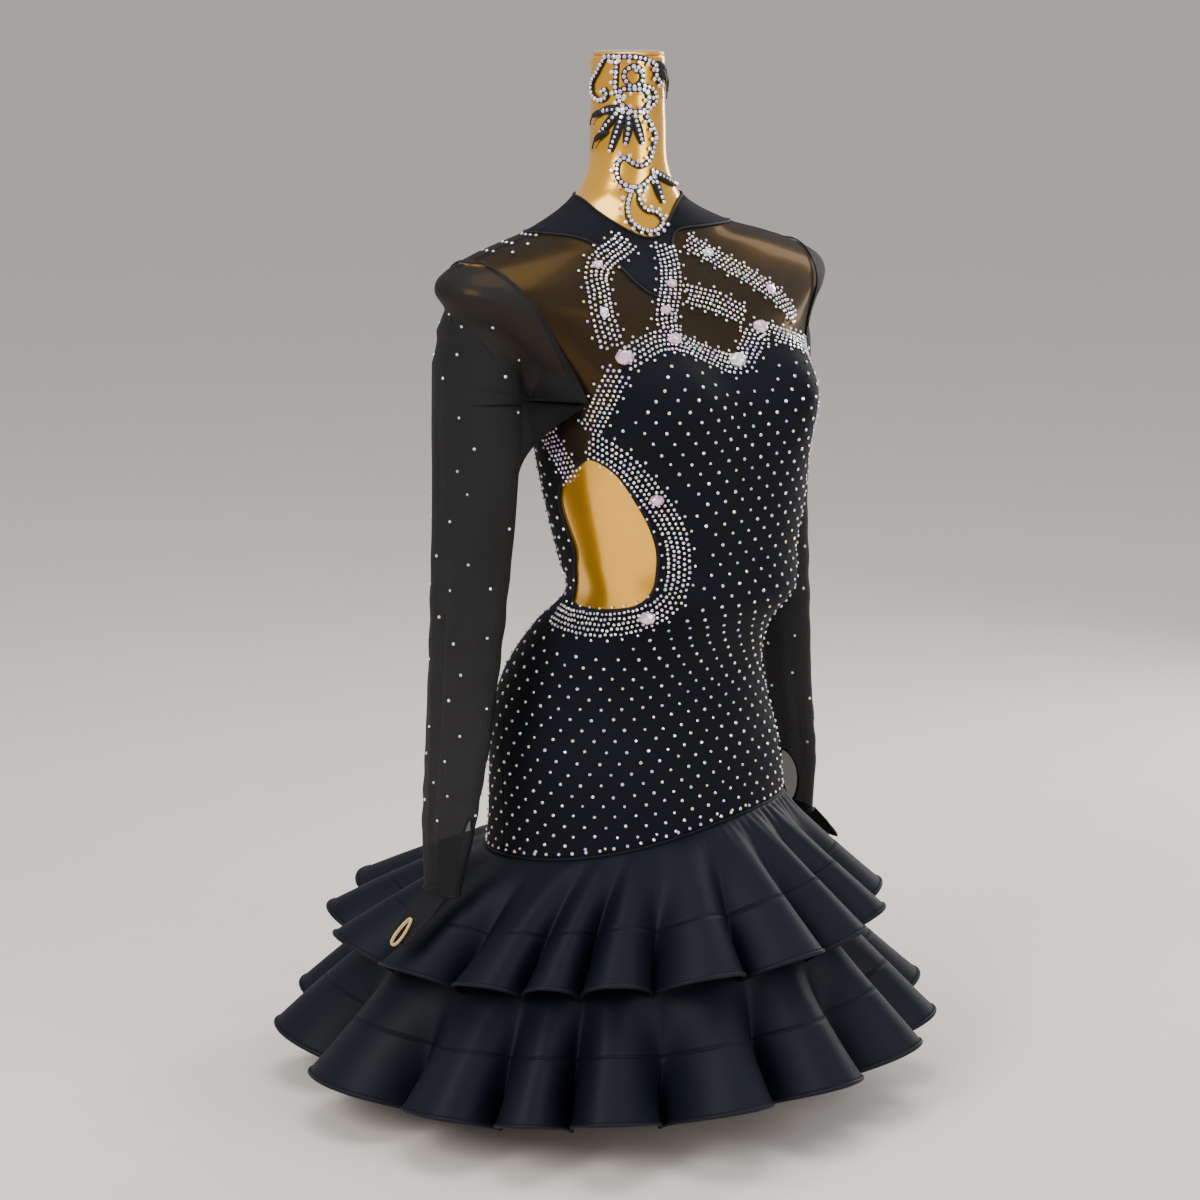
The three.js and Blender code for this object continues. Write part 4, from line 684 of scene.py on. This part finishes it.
# name, angle, level, half width, and height as a share of the width
LARGE = [
    ("right_shoulder", -148, 635, 5.5, 0.75), ("right_chest", -145, 596, 5.5, 1.3),
    ("centre_upper", -109, 615, 6, 0.75), ("centre_lower", -119, 594, 6, 0.75),
    ("left_shoulder", -60, 638, 6, 0.75), ("left_chest", -42, 602, 6, 1.3),
    ("neckline_right", -143, 557, 9, 0.8), ("neckline_centre", -121, 569, 8, 0.75),
    ("neckline_left", -60, 572, 8, 0.9), ("neckline_dip", -85, 546, 9, 0.85),
    ("cutout_front", -139, 427, 7, 0.75), ("cutout_lower", -146, 315, 8, 0.8),
]
for name, angle, level, half, ratio in LARGE:
    seat = skin([angle], [level], 2.3)
    wide, tall = (1, ratio) if ratio < 1 else (1 / ratio, 1)
    gem = stones(f"gem_{name}", seat, half, odds=(0.25, 0.5, 0.2, 0, 0.05), squash=[(wide, tall)],
                 nodes=[f"stone_{name}"])
    bevel = gem.modifiers.new("cut_edges", "BEVEL")
    bevel.width = 0.5 * MM
    bevel.segments = 1
    taken_points.append(seat[0][0])

# stones strewn over the jersey in a diagonal grid
GRID_RISE, GRID_PITCH, GRID_GAP = 9.9, 19.6, 11
taken = KDTree(len(taken_points))
for i, point in enumerate(taken_points):
    taken.insert(point, i)

taken.balance()
body_pieces = {piece_at(-80, 400), piece_at(-240, 400), piece_at(60, 400)}
turn = np.linspace(-270, 90, 721)
places = []
for row, level in enumerate(np.arange(74, 575, GRID_RISE)):
    ring = skin(turn, level)[0]
    reach = np.concatenate([[0], np.cumsum(np.linalg.norm(np.diff(ring, axis=0), axis=1))])
    middle = np.interp(-90, turn, reach)
    for j in range(-60, 60):
        at = middle + (j + 0.5 * (row % 2)) * GRID_PITCH
        if 0 < at < reach[-1]:
            angle = float(np.interp(at, reach, turn)) + rng.gauss(0, 0.25)
            here = level + rng.gauss(0, 0.6)
            if here > hip_seam(angle) + 6 and piece_at(angle, here) in body_pieces:
                point = skin([angle], [here])[0][0]
                off_zip = abs(angle - 90) > 2.5 and abs(angle + 270) > 2.5
                if taken.find(point)[2] > GRID_GAP and off_zip:
                    places.append((angle, here))

stones("stones_bodice", on_skin(np.array(places), STONE_LIFT), [rng.uniform(1.35, 1.75) for _ in places])
hip_row = even(around(hip_seam) + [0, 5], 13.0, closed=True)
stones("stones_hip_row", on_skin(hip_row, STONE_LIFT), 1.7, odds=(0.3, 0.3, 0.3, 0.05, 0.05))
cluster = [(a, b) for a in range(176, 190, 3) for b in (647, 653, 659) if rng.random() < 0.75]
stones("stones_shoulder", on_skin(np.array(cluster), 2.2), 1.6)
back_edge = even(spline([(-196, 448), (-200, 420), (-198, 390), (-198, 350), (-203, 322)], 30), 12)
stones("stones_back_edge", on_skin(back_edge, STONE_LIFT), 1.7)


# ---------------- the corded ornament on the neck
LACE = {
    "left_loop": [(-167, 820), (-183, 807), (-200, 795), (-197, 785), (-179, 780), (-164, 784), (-167, 790),
                  (-174, 788)],
    "bar": [(-147, 820), (-148, 808), (-149, 791), (-143, 780)],
    "crown": [(-167, 820), (-143, 821), (-120, 820), (-102, 818), (-82, 812), (-82, 803), (-72, 796)],
    "spiral": [(-109, 808), (-120, 812), (-134, 808), (-136, 801), (-124, 793), (-110, 798), (-109, 806),
               (-119, 808)],
    "heart": [(-143, 780), (-141, 790), (-127, 791), (-105, 790), (-97, 781), (-105, 772), (-124, 770),
              (-138, 776), (-143, 780)],
    "stem": [(-105, 794), (-88, 790), (-82, 780), (-97, 772), (-102, 766), (-94, 759), (-85, 748), (-91, 735),
             (-100, 724), (-113, 720), (-124, 723), (-136, 728), (-144, 723), (-144, 711), (-134, 703),
             (-117, 701), (-105, 706), (-94, 711)],
    "petal_1": [(-138, 773), (-156, 772), (-176, 770)], "petal_2": [(-143, 772), (-158, 761), (-173, 751)],
    "petal_3": [(-138, 770), (-146, 753), (-157, 734)], "petal_4": [(-130, 769), (-130, 756), (-134, 741)],
    "petal_5": [(-120, 766), (-115, 753), (-109, 741)],
    "lower": [(-124, 701), (-131, 686), (-130, 672), (-120, 663), (-105, 661), (-91, 669), (-97, 677),
              (-110, 680), (-117, 688), (-115, 698)],
    "spray_1": [(-94, 716), (-78, 710), (-48, 701)], "spray_2": [(-94, 714), (-88, 701), (-82, 686)],
}
LEAVES = ("petal", "spray")
ONE_ROW = (*LEAVES, "spiral", "left")
SECOND_ROW = 4.1
NECK_RADIUS = 34
cords, places = [], []
for label, stroke in LACE.items():
    line = even(spline(stroke, 60), 1.6)
    path, normal = on_skin(line, 1.5)
    share = np.linspace(0, 1, len(line))
    leaf = 1.9 * np.sin(np.pi * np.clip(share, 0.04, 0.96)) if label.startswith(LEAVES) else 0
    cords.append(tube(path, 2.7 + leaf, 10, False, normal, 0.5))
    places += list(even(line, 4.6))
    if not label.startswith(ONE_ROW):
        side = unit(np.cross(np.gradient(path, axis=0), normal))
        turn = np.radians(line[:, 0])
        slip = np.degrees((side[:, 1] * np.cos(turn) - side[:, 0] * np.sin(turn)) * SECOND_ROW / NECK_RADIUS)
        beside = line + np.stack([slip, side[:, 2] * SECOND_ROW], 1)
        places += list(even(beside, 4.6)[1::2])

lace = add_mesh("neck_cords", *join(cords), CORD)
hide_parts("neck_lace")
places = np.array(places)
places[:, 1] = np.minimum(places[:, 1], NECK_TOP - 0.5)
stones("stones_neck", on_skin(places, 2.6), [rng.uniform(1.75, 2.2) for _ in places],
       odds=(0.7, 0.06, 0.16, 0.04, 0.04))

TASSELS = [
    [(-84, 815), (-72, 812), (-58, 803), (-46, 788)], [(-82, 812), (-70, 806), (-60, 795), (-52, 781)],
    [(-80, 806), (-66, 802), (-50, 799), (-38, 787)], [(-168, 770), (-180, 768), (-192, 764), (-200, 757)],
    [(-160, 752), (-174, 748), (-186, 742), (-194, 735)],
]
tassels = []
share = np.linspace(0, 1, 26)
tassel_radius = 1.0 + 2.2 * np.sin(math.pi * np.clip(share * 1.5, 0, 1)) ** 0.7
for stops in TASSELS:
    path, normal = on_skin(spline(stops, len(share)), 2.0 + 1.6 * np.sin(share * math.pi))
    tassels.append(tube(path, tassel_radius, 8, False, normal, 0.6))

tassel = add_mesh("neck_tassels", *join(tassels), CORD)
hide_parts("neck_tassel")


# ---------------- sleeves
# level, distance out, half width and half depth
SLEEVE_SECTIONS = np.array([
    (600, 181, 33, 50), (500, 183, 31, 50), (401.4, 189, 28, 47), (298.4, 198, 24, 43), (195.4, 208, 20, 38),
    (110.2, 220, 15, 31), (52, 228, 10, 23),
])[::-1]
SLEEVE_COLUMNS = 81
SLEEVE_EASE = 1.2
DRAPE_FOOT = 440
KEYHOLE_LEVEL, KEYHOLE_HALF_WIDTH, KEYHOLE_HALF_HEIGHT = 90, 12, 29
KEYHOLE_TURN = math.radians(-148)


def tube_section(level):
    return [np.interp(level, SLEEVE_SECTIONS[:, 0], SLEEVE_SECTIONS[:, k]) for k in (1, 2, 3)]


def fold_height(level, turn, side):
    """Soft folds: long ones down the arm and short ones across it near the elbow and the wrist."""
    long_fold = 2.4 * np.abs(np.sin(2.5 * turn + level / 260 + side)) + 0.8 * np.sin(7 * turn - level / 120)
    elbow = 0.7 * np.exp(-(((level - 300) / 60) ** 2)) * np.sin(level / 6.5 + 2 * np.cos(turn + side))
    cuff = 0.6 * np.exp(-(((level - 140) / 40) ** 2)) * np.sin(level / 4.6 + 1.5 * np.sin(turn))
    above_wrist, below_shoulder = (level - WRIST_LEVEL) / 60, (560 - level) / 60
    return (long_fold + elbow + cuff) * np.clip(above_wrist, 0.15, 1) * np.clip(below_shoulder, 0, 1)


def sleeve_reach(side, level, turns):
    """Centre of the sleeve at a level and how far its wall stands from it in each direction."""
    centre, half_width, half_depth = tube_section(level)
    folds = fold_height(level, turns, side)
    if side > 0:
        half_depth *= 1 - 0.17 * np.clip((470 - level) / 90, 0, 1) * np.clip((level - 110) / 80, 0, 1)
    tube_reach = 1 / np.sqrt((np.cos(turns) / half_width) ** 2 + (np.sin(turns) / half_depth) ** 2)
    tube_reach = tube_reach + SLEEVE_EASE
    drape = np.clip((level - DRAPE_FOOT) / (ARMPIT_LEVEL - DRAPE_FOOT), 0, 1) ** 2
    if level <= ARMPIT_LEVEL and drape:
        foot_centre, foot_reach = sleeve_reach(side, ARMPIT_LEVEL + 1, turns)
        inward = np.minimum(np.cos(turns), -1e-3)
        at_plane = (armhole_x(side, ARMPIT_LEVEL + 1) + 0.5 - foot_centre) / inward
        foot_reach = np.maximum(np.minimum(foot_reach, at_plane), np.where(inward < -0.6, at_plane, 0))
        return centre, tube_reach * (1 - drape) + foot_reach * drape + folds * (1 - drape)
    if level <= ARMPIT_LEVEL:
        return centre, tube_reach + folds
    # above the armpit the wall follows the shoulder's skin outside the armhole plane
    edge = armhole_x(side, level)
    ring = skin(np.linspace(-180, 180, 1441), level, 2.0)[0]
    ring = ring[side * ring[:, 0] > edge - 3]
    outside = side * ring[:, 0]
    blend = np.clip((level - 545) / 55, 0, 1)
    centre = centre * (1 - blend) + (edge + outside.max(initial=centre)) / 2 * blend
    turn, distance = np.arctan2(ring[:, 1], outside - centre), np.hypot(outside - centre, ring[:, 1])
    away = np.abs((turns[:, None] - turn[None, :] + np.pi) % (2 * np.pi) - np.pi)
    skin_reach = np.where(away < 0.045, distance[None, :], 0).max(1, initial=0)
    if level < 600:
        tube_reach = tube_reach * np.clip((604 - level) / 30, 0, 1) ** 0.5
        skin_reach = 2.0 * np.logaddexp(skin_reach / 2.0, tube_reach / 2.0)
    return centre, skin_reach + folds


def sleeve_spread(side, level):
    """How far the sleeve reaches round the arm, in front and behind: right round, or to the armhole."""
    if level <= ARMPIT_LEVEL:
        return -np.pi, np.pi
    turns = np.linspace(-np.pi, np.pi, 721)
    centre, reach = sleeve_reach(side, level, turns)
    beyond = centre + reach * np.cos(turns) > armhole_x(side, level)
    front, back = turns[(turns <= 0) & ~beyond], turns[(turns >= 0) & ~beyond]
    return front.max(initial=-np.pi), back.min(initial=np.pi)


def sleeve_points(side, level, shares):
    """Points of the sleeve at a level, for shares from -1, its inner seam in front, to 1, behind."""
    front, back = sleeve_spread(side, level)
    turns = np.where(shares < 0, -shares * front, shares * back)
    centre, reach = sleeve_reach(side, level, turns)
    x, y = centre + reach * np.cos(turns), reach * np.sin(turns)
    return np.stack([side * x, y, np.full(len(turns), float(level))], 1)


def sleeve_seats(side, levels, shares, lift):
    points, normals = [], []
    for level, share in zip(levels, shares):
        near = np.array([share - 0.01, share + 0.01])
        here, above = sleeve_points(side, level, near), sleeve_points(side, level + 2, near)
        normal = unit(np.cross(here[1] - here[0], above[0] - here[0]) * side)
        points.append(here.mean(0) + normal * lift)
        normals.append(normal)
    return np.array(points), np.array(normals)


KEYHOLE_RADIUS = tube_section(KEYHOLE_LEVEL)[2] * 0.75


def keyhole_place(level, share):
    """Distance from the keyhole's middle, as a share of its size: below 1 is inside it."""
    width = (share * np.pi - KEYHOLE_TURN) * KEYHOLE_RADIUS
    return width / KEYHOLE_HALF_WIDTH, (level - KEYHOLE_LEVEL) / KEYHOLE_HALF_HEIGHT


def keyhole_point(side, wide, tall):
    """The sleeve's point at a place in the keyhole, as shares of its size."""
    share = (KEYHOLE_TURN + wide * KEYHOLE_HALF_WIDTH / KEYHOLE_RADIUS) / np.pi
    return sleeve_points(side, KEYHOLE_LEVEL + tall * KEYHOLE_HALF_HEIGHT, np.array([share]))[0]


SLEEVE_LEVELS = np.concatenate([
    np.arange(WRIST_LEVEL, 150, 2.6), np.arange(150, 500, 4.5), np.arange(500, SEAM_TOP - 1, 3.0),
])
EDGE_RADIUS = 1.5
FLAP_RIBS = 26
FLAP_ROWS, FLAP_COLUMNS = 79, 15
LOOP_POINTS = 48
for side, name in ((-1, "right"), (1, "left")):
    shares = np.linspace(-1, 1, SLEEVE_COLUMNS)
    rings, holes = [], []
    for level in SLEEVE_LEVELS:
        wide, tall = keyhole_place(level, shares)
        e = np.maximum(np.hypot(wide, tall), 1e-6)
        snap = np.abs(e - 1) < 0.17
        ring = sleeve_points(side, level, shares)
        for k in np.nonzero(snap)[0]:
            ring[k] = keyhole_point(side, wide[k] / e[k], tall / e[k])
        rings.append(ring)
        holes.append((e < 1) | snap)
    hole = np.concatenate(holes)
    faces = grid_faces(len(SLEEVE_LEVELS), SLEEVE_COLUMNS, wrap=False, inward=side < 0)
    points, faces = keep_used(np.vstack(rings), [f for f in faces if not hole[list(f)].all()])
    sleeve = add_mesh(f"sheer_sleeve_{name}", points, faces, SLEEVE, None)
    shell = bmesh.new()
    shell.from_mesh(sleeve.data)
    bmesh.ops.remove_doubles(shell, verts=shell.verts, dist=0.00002)
    shell.to_mesh(sleeve.data)
    shell.free()
    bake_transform(sleeve)
    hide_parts(f"sleeve_head_{name}", f"sleeve_{name}")
    declare_cloth(sleeve)

    sites, places = [], []
    for row, level in enumerate(np.arange(128, 600, 27)):
        for k in range(5):
            share = (k + 0.5 * (row % 2)) * 0.4 - 0.9 + rng.gauss(0, 0.05)
            if abs(share) < 0.97 and rng.random() < 0.85:
                sites.append(level + rng.gauss(0, 5))
                places.append(share)
    seats = sleeve_seats(side, sites, places, 0.4)
    gems = stones(f"stones_sleeve_{name}", seats, [rng.uniform(1.2, 1.65) for _ in sites], None)
    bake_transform(gems)

    spins = np.linspace(0, 2 * np.pi, LOOP_POINTS, endpoint=False)
    rim = [keyhole_point(side, math.cos(spin), math.sin(spin)) for spin in spins]
    rim_normals = np.tile([0.8 * side, 0.6, 0], (LOOP_POINTS, 1))
    wrist_ring = sleeve_points(side, WRIST_LEVEL, shares[:-1])
    rims = [tube(rim, EDGE_RADIUS, 8, True, rim_normals), tube(wrist_ring, EDGE_RADIUS, 8, True)]
    add_mesh(f"sleeve_edges_{name}", *join(rims), EDGE, f"sleeve_{name}")

    # the hand flap slopes outwards under the wrist, ribbed along its length
    slope_out = np.array([side * math.sin(HAND_SLOPE), 0, -math.cos(HAND_SLOPE)])
    slope_up = np.array([side * math.cos(HAND_SLOPE), 0, math.sin(HAND_SLOPE)])
    foot = np.array([side * 239.35, 0, WRIST_LEVEL - 0.55])
    flap = []
    for i in range(FLAP_ROWS):
        share = i / (FLAP_ROWS - 1)
        half = np.interp(share, [0, 0.4, 0.9, 1], [18, 18, 13, 9])
        rib = 0.35 * math.cos(share * math.pi * FLAP_RIBS)
        for j in range(FLAP_COLUMNS):
            across = 2 * j / (FLAP_COLUMNS - 1) - 1
            sag = 0.3 * (1 - across**2) * math.sin(math.pi * min(1, share + 0.1))
            lift = slope_up * (0.5 + rib + sag - 0.6)
            flap.append(foot + slope_out * share * HAND_LENGTH + [0, across * half, 0] + lift)
    outline = flap[::FLAP_COLUMNS] + flap[FLAP_COLUMNS - 1::FLAP_COLUMNS][::-1]
    flap_faces = grid_faces(FLAP_ROWS, FLAP_COLUMNS, wrap=False)
    hand = add_mesh(f"hand_flap_{name}", flap, flap_faces, LINING, f"sleeve_{name}")
    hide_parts(f"hand_point_{name}")
    thicken(hand, 0.7, 0)
    declare_cloth(hand)
    add_mesh(f"hand_flap_edge_{name}", *tube(outline, 1.0, 8), EDGE, f"sleeve_{name}")

    # the finger loop is a doubled elastic drawn to a point
    loops = []
    for shift in (-0.9, 0.9):
        path = []
        for k in range(LOOP_POINTS):
            turn = 2 * math.pi * k / LOOP_POINTS
            along = 32 + 15 * (1 - math.cos(turn))
            taper = 0.55 + 0.45 * (1 - math.cos(turn)) / 2
            width = 6.4 * math.sin(turn) * taper + shift * 0.3 * math.sin(turn)
            path.append(foot + slope_out * along + [0, width, 0] + slope_up * (3.6 + shift * 0.75))
        loops.append(tube(path, 1.0, 8, True))
    loop = add_mesh(f"elastic_loop_{name}", *join(loops), ELASTIC, f"finger_loop_{name}")
    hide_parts(f"finger_loop_{name}")


# ---------------- flounces
HEM_TILT = 10.5
HEM_TURN = math.radians(50)


def hem_point(angle, radius, level, shift):
    """A point of a round hem that is shifted back and tilted like the hip seam."""
    turn = np.radians(angle)
    y = radius * np.sin(turn) + shift
    return np.stack([radius * np.cos(turn), y, level + HEM_TILT * np.cos(turn + HEM_TURN)], -1)


def flute_phase(angle, flutes):
    stops = np.array([*flutes, flutes[0] + 360], float)
    at = (angle - flutes[0]) % 360 + flutes[0]
    i = np.clip(np.searchsorted(stops, at, side="right") - 1, 0, len(stops) - 2)
    gap = stops[i + 1] - stops[i]
    return 2 * np.pi * (at - stops[i]) / gap, gap


GATHER_ANGLE = 335
GATHER_SHARE = 0.07
GATHER_PLEATS = 84


def tier_surface(tier, angles, shares):
    """A flared flounce: broad round flutes between pinched valleys that hang lower and further in."""
    top_of, hem_radius, hem_level, height, flutes, valley, pleats = tier
    angle, share = np.meshgrid(angles, shares)
    phase, gap = flute_phase(angle, flutes)
    wave = 0.55 * np.cos(phase) + 0.45 * (2 * np.abs(np.cos(phase / 2)) ** 1.2 - 1)
    uneven = 1 + 0.16 * np.sin(angle * 0.051 + 1.3) + 0.1 * np.sin(angle * 0.173)
    depth = height * uneven * share**1.25
    swell = angle + 0.15 * gap * np.sin(phase) * share**1.4
    top = top_of(angle.ravel()).reshape(*angle.shape, 3)
    hem = hem_point(swell, hem_radius, hem_level, HEM_SHIFT)
    droop = 0.9 + 0.3 * bump(angle, GATHER_ANGLE, 48)
    flare = (share**droop)[..., None]
    points = top * (1 - flare) + hem * flare
    points[..., 2] = top[..., 2] * (1 - share**1.12) + hem[..., 2] * share**1.12
    outward = np.stack([np.cos(np.radians(swell)), np.sin(np.radians(swell))], -1)
    inward = 0.62 * depth * wave - valley * share**1.5 * uneven * (1 - np.cos(phase)) / 2
    gather = bump(angle, GATHER_ANGLE, 60) * share / GATHER_SHARE * np.exp(1 - share / GATHER_SHARE)
    inward = inward + pleats * gather * np.sin(np.radians(angle) * GATHER_PLEATS)
    points[..., :2] += inward[..., None] * outward
    points[..., 2] += 0.8 * depth * wave
    return points


def upper_top(angle):
    return skin(angle, hip_seam(angle) - 1.2, 1.4)[0]


def lower_top(angle):
    return hem_point(angle, 204.5, -6.8, HEM_SHIFT / 2)


def under_top(angle):
    return skin(angle, hip_seam(angle) - 8, 1.6)[0]


# top edge, hem radius and level, flute height and angles, depth of the valleys and of the gathers
TIERS = {
    "upper": (upper_top, UPPER_HEM_RADIUS, UPPER_HEM_LEVEL, UPPER_FLUTE_HEIGHT, UPPER_FLUTES, 22, 0.9),
    "lower": (lower_top, LOWER_HEM_RADIUS, LOWER_HEM_LEVEL, LOWER_FLUTE_HEIGHT, LOWER_FLUTES, 46, 0),
}
COLUMNS = 648
SKIRT_ANGLES = np.linspace(0, 360, COLUMNS, endpoint=False)
UNDER_ANGLES = SKIRT_ANGLES[::3]
HEM_SEAM = 0.6


def skirt_piece(name, grid, node, thickness):
    """A ring of satin cloth from a grid of points that goes round the body."""
    faces = grid_faces(*grid.shape[:2], inward=True)
    piece = add_mesh(name, grid.reshape(-1, 3), faces, CREPE)
    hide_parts(node)
    thicken(piece, thickness, 0)
    return piece


def declare_flounce(piece):
    round(surface_area(piece), 4)


for name, tier in TIERS.items():
    upper_part = tier_surface(tier, SKIRT_ANGLES, np.linspace(0, HEM_SEAM, 24))
    lower_part = tier_surface(tier, SKIRT_ANGLES, np.linspace(HEM_SEAM, 1, 18))
    flounce = skirt_piece(f"cloth_{name}_flounce", upper_part, f"{name}_flounce", 1.2)
    ridge = add_mesh(f"seam_ridge_{name}", *tube(lower_part[0], 1.0, 8, True), CREPE_SEAM)
    declare_flounce(flounce)
    band = skirt_piece(f"cloth_{name}_hem_band", lower_part, f"{name}_hem_band", 1.8)
    roll = add_mesh(f"rolled_hem_{name}", *tube(lower_part[-1], 2.3, 10, True), CREPE_SEAM)
    declare_flounce(band)

under_foot = hem_point(UNDER_ANGLES, UNDER_HEM_RADIUS, UNDER_HEM_LEVEL, HEM_SHIFT / 2)
under_grid = np.array([
    under_top(UNDER_ANGLES) * (1 - share**0.9) + under_foot * share**0.9 for share in np.linspace(0, 1, 14)
])
underskirt = skirt_piece("cloth_underskirt", under_grid, "underskirt", 1.0)
declare_flounce(underskirt)


# ---------------- waist petals
PETAL_ROWS, PETAL_COLUMNS = 16, 9
low, high = (np.array(corner) * 1000 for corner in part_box("waist_petals"))
petal_y = (low[1] + high[1]) / 2
deep, wide, tall = high - low
petals = []
for lean, reach in ((-0.55, 0.92), (0.0, 1.0), (0.6, 0.85)):
    grid = []
    for i in range(PETAL_ROWS):
        share = i / (PETAL_ROWS - 1)
        width = 5.2 * math.sin(math.pi * (0.08 + 0.88 * share)) ** 0.8
        for j in range(PETAL_COLUMNS):
            across = (j / 4 - 1) * width
            level = low[2] + 3 + share * tall * reach * 0.94
            out = low[0] + 2 + (deep - 3) * (share**1.3) * reach - 0.03 * across**2
            grid.append((out, petal_y + lean * wide * 0.36 * share + across, level))
    petals.append((grid, grid_faces(PETAL_ROWS, PETAL_COLUMNS, wrap=False)))

petal = add_mesh("stiff_petals", *join(petals), CREPE)
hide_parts("waist_petals")
thicken(petal, 0.9, 0)
declare_cloth(petal)


# ---------------- zip teeth
ALONG_ZIP = np.array([0, 0.2288, 0.9735])
OUT_OF_ZIP = np.array([0, 0.9735, -0.2288])
TOOTH_PITCH = 1.6
TOOTH_CORNERS = ((0, -1), (1, -1), (1, 1), (0, 1))
for name in ("left", "right"):
    corners = np.array([v.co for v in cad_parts[f"zip_chain_{name}"].data.vertices]) * 1000
    x, rise, out = corners[:, 0], corners @ ALONG_ZIP, corners @ OUT_OF_ZIP
    # height and half length of a tooth at its foot, its shoulder and its top, and how far it is drawn in
    layers = ((out.min(), 0.55, 0), (out.max() - 0.4, 0.5, 0), (out.max(), 0.3, 0.3))
    teeth = []
    for k, at in enumerate(np.arange(rise.min() + 0.6, rise.max() - 0.4, TOOTH_PITCH)):
        inner = 0.35 if k % 2 else -0.1
        span = (x.min() - (inner if name == "left" else 0), x.max() + (inner if name == "right" else 0))
        box = []
        for height, half, inset in layers:
            for end, way in TOOTH_CORNERS:
                place = ALONG_ZIP * (at + way * half) + OUT_OF_ZIP * height
                box.append(place + [span[end] + (inset, -inset)[end], 0, 0])
        teeth.append((box, [(3, 2, 1, 0), (8, 9, 10, 11), *grid_faces(len(layers), len(TOOTH_CORNERS))]))
    chain = add_mesh(f"zip_teeth_{name}", *join(teeth), ZIP, smooth=False)
    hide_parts(f"zip_chain_{name}")


# ---------------- studio
target = Vector((-0.020, 0.017, 0.300))
toward = Vector((-0.6287, -0.7493, 0.2079)).normalized()
across = Vector((0.766, -0.643, 0))
level_toward = Vector((toward.x, toward.y, 0)).normalized()
FLOOR = -0.185
FLOOR_RADIUS = 90
FLOOR_SIDES = 96
floor_turns = np.linspace(0, 2 * math.pi, FLOOR_SIDES, endpoint=False)
floor_ring = [(math.cos(t) * FLOOR_RADIUS / MM, math.sin(t) * FLOOR_RADIUS / MM, FLOOR / MM)
              for t in floor_turns]
PAPER = material("paper_floor", (0.78, 0.72, 0.66), 0.92, grain=30, vary=0.01, bump=0.01)
floor = add_mesh("paper_floor", floor_ring, [tuple(range(FLOOR_SIDES))], PAPER, None)

world = bpy.data.worlds.new("studio")
bpy.context.scene.world = world
world.use_nodes = True
background = world.node_tree.nodes["Background"].inputs
background["Color"].default_value = (0.93, 0.92, 0.95, 1)
background["Strength"].default_value = 0.62


# name, place to the side, height, place towards the camera, width, height of the panel, watts, colour
LIGHTS = [
    ("key", -1.6, 1.9, 2.2, 1.2, 1.6, 75, (1.0, 0.97, 0.93)),
    ("fill", 2.2, 1.1, 1.6, 1.0, 1.8, 36, (0.93, 0.96, 1.0)),
    ("strip", 1.2, 1.0, -1.3, 0.3, 1.7, 22, (1.0, 0.98, 0.95)),
    ("top", 0.0, 2.6, 0.2, 1.6, 1.6, 40, (1.0, 1.0, 1.0)),
]
LIGHTS_AIM = Vector((0, 0, 0.35))
for name, side, height, reach, wide, tall, power, color in LIGHTS:
    light = bpy.data.lights.new(name, "AREA")
    light.shape = "RECTANGLE"
    light.size, light.size_y = wide, tall
    light.energy, light.color = power, color
    lamp = bpy.data.objects.new(name, light)
    lamp.location = level_toward * reach + across * side + Vector((0, 0, height))
    lamp.rotation_euler = (LIGHTS_AIM - lamp.location).to_track_quat("-Z", "Y").to_euler()
    bpy.context.scene.collection.objects.link(lamp)

camera_data = bpy.data.cameras.new("camera")
camera_data.lens = 92.8
camera_data.sensor_width = 36
camera = bpy.data.objects.new("camera", camera_data)
camera.location = target + toward * 3.0
camera.rotation_euler = (-toward).to_track_quat("-Z", "Y").to_euler()
bpy.context.scene.collection.objects.link(camera)
bpy.context.scene.camera = camera
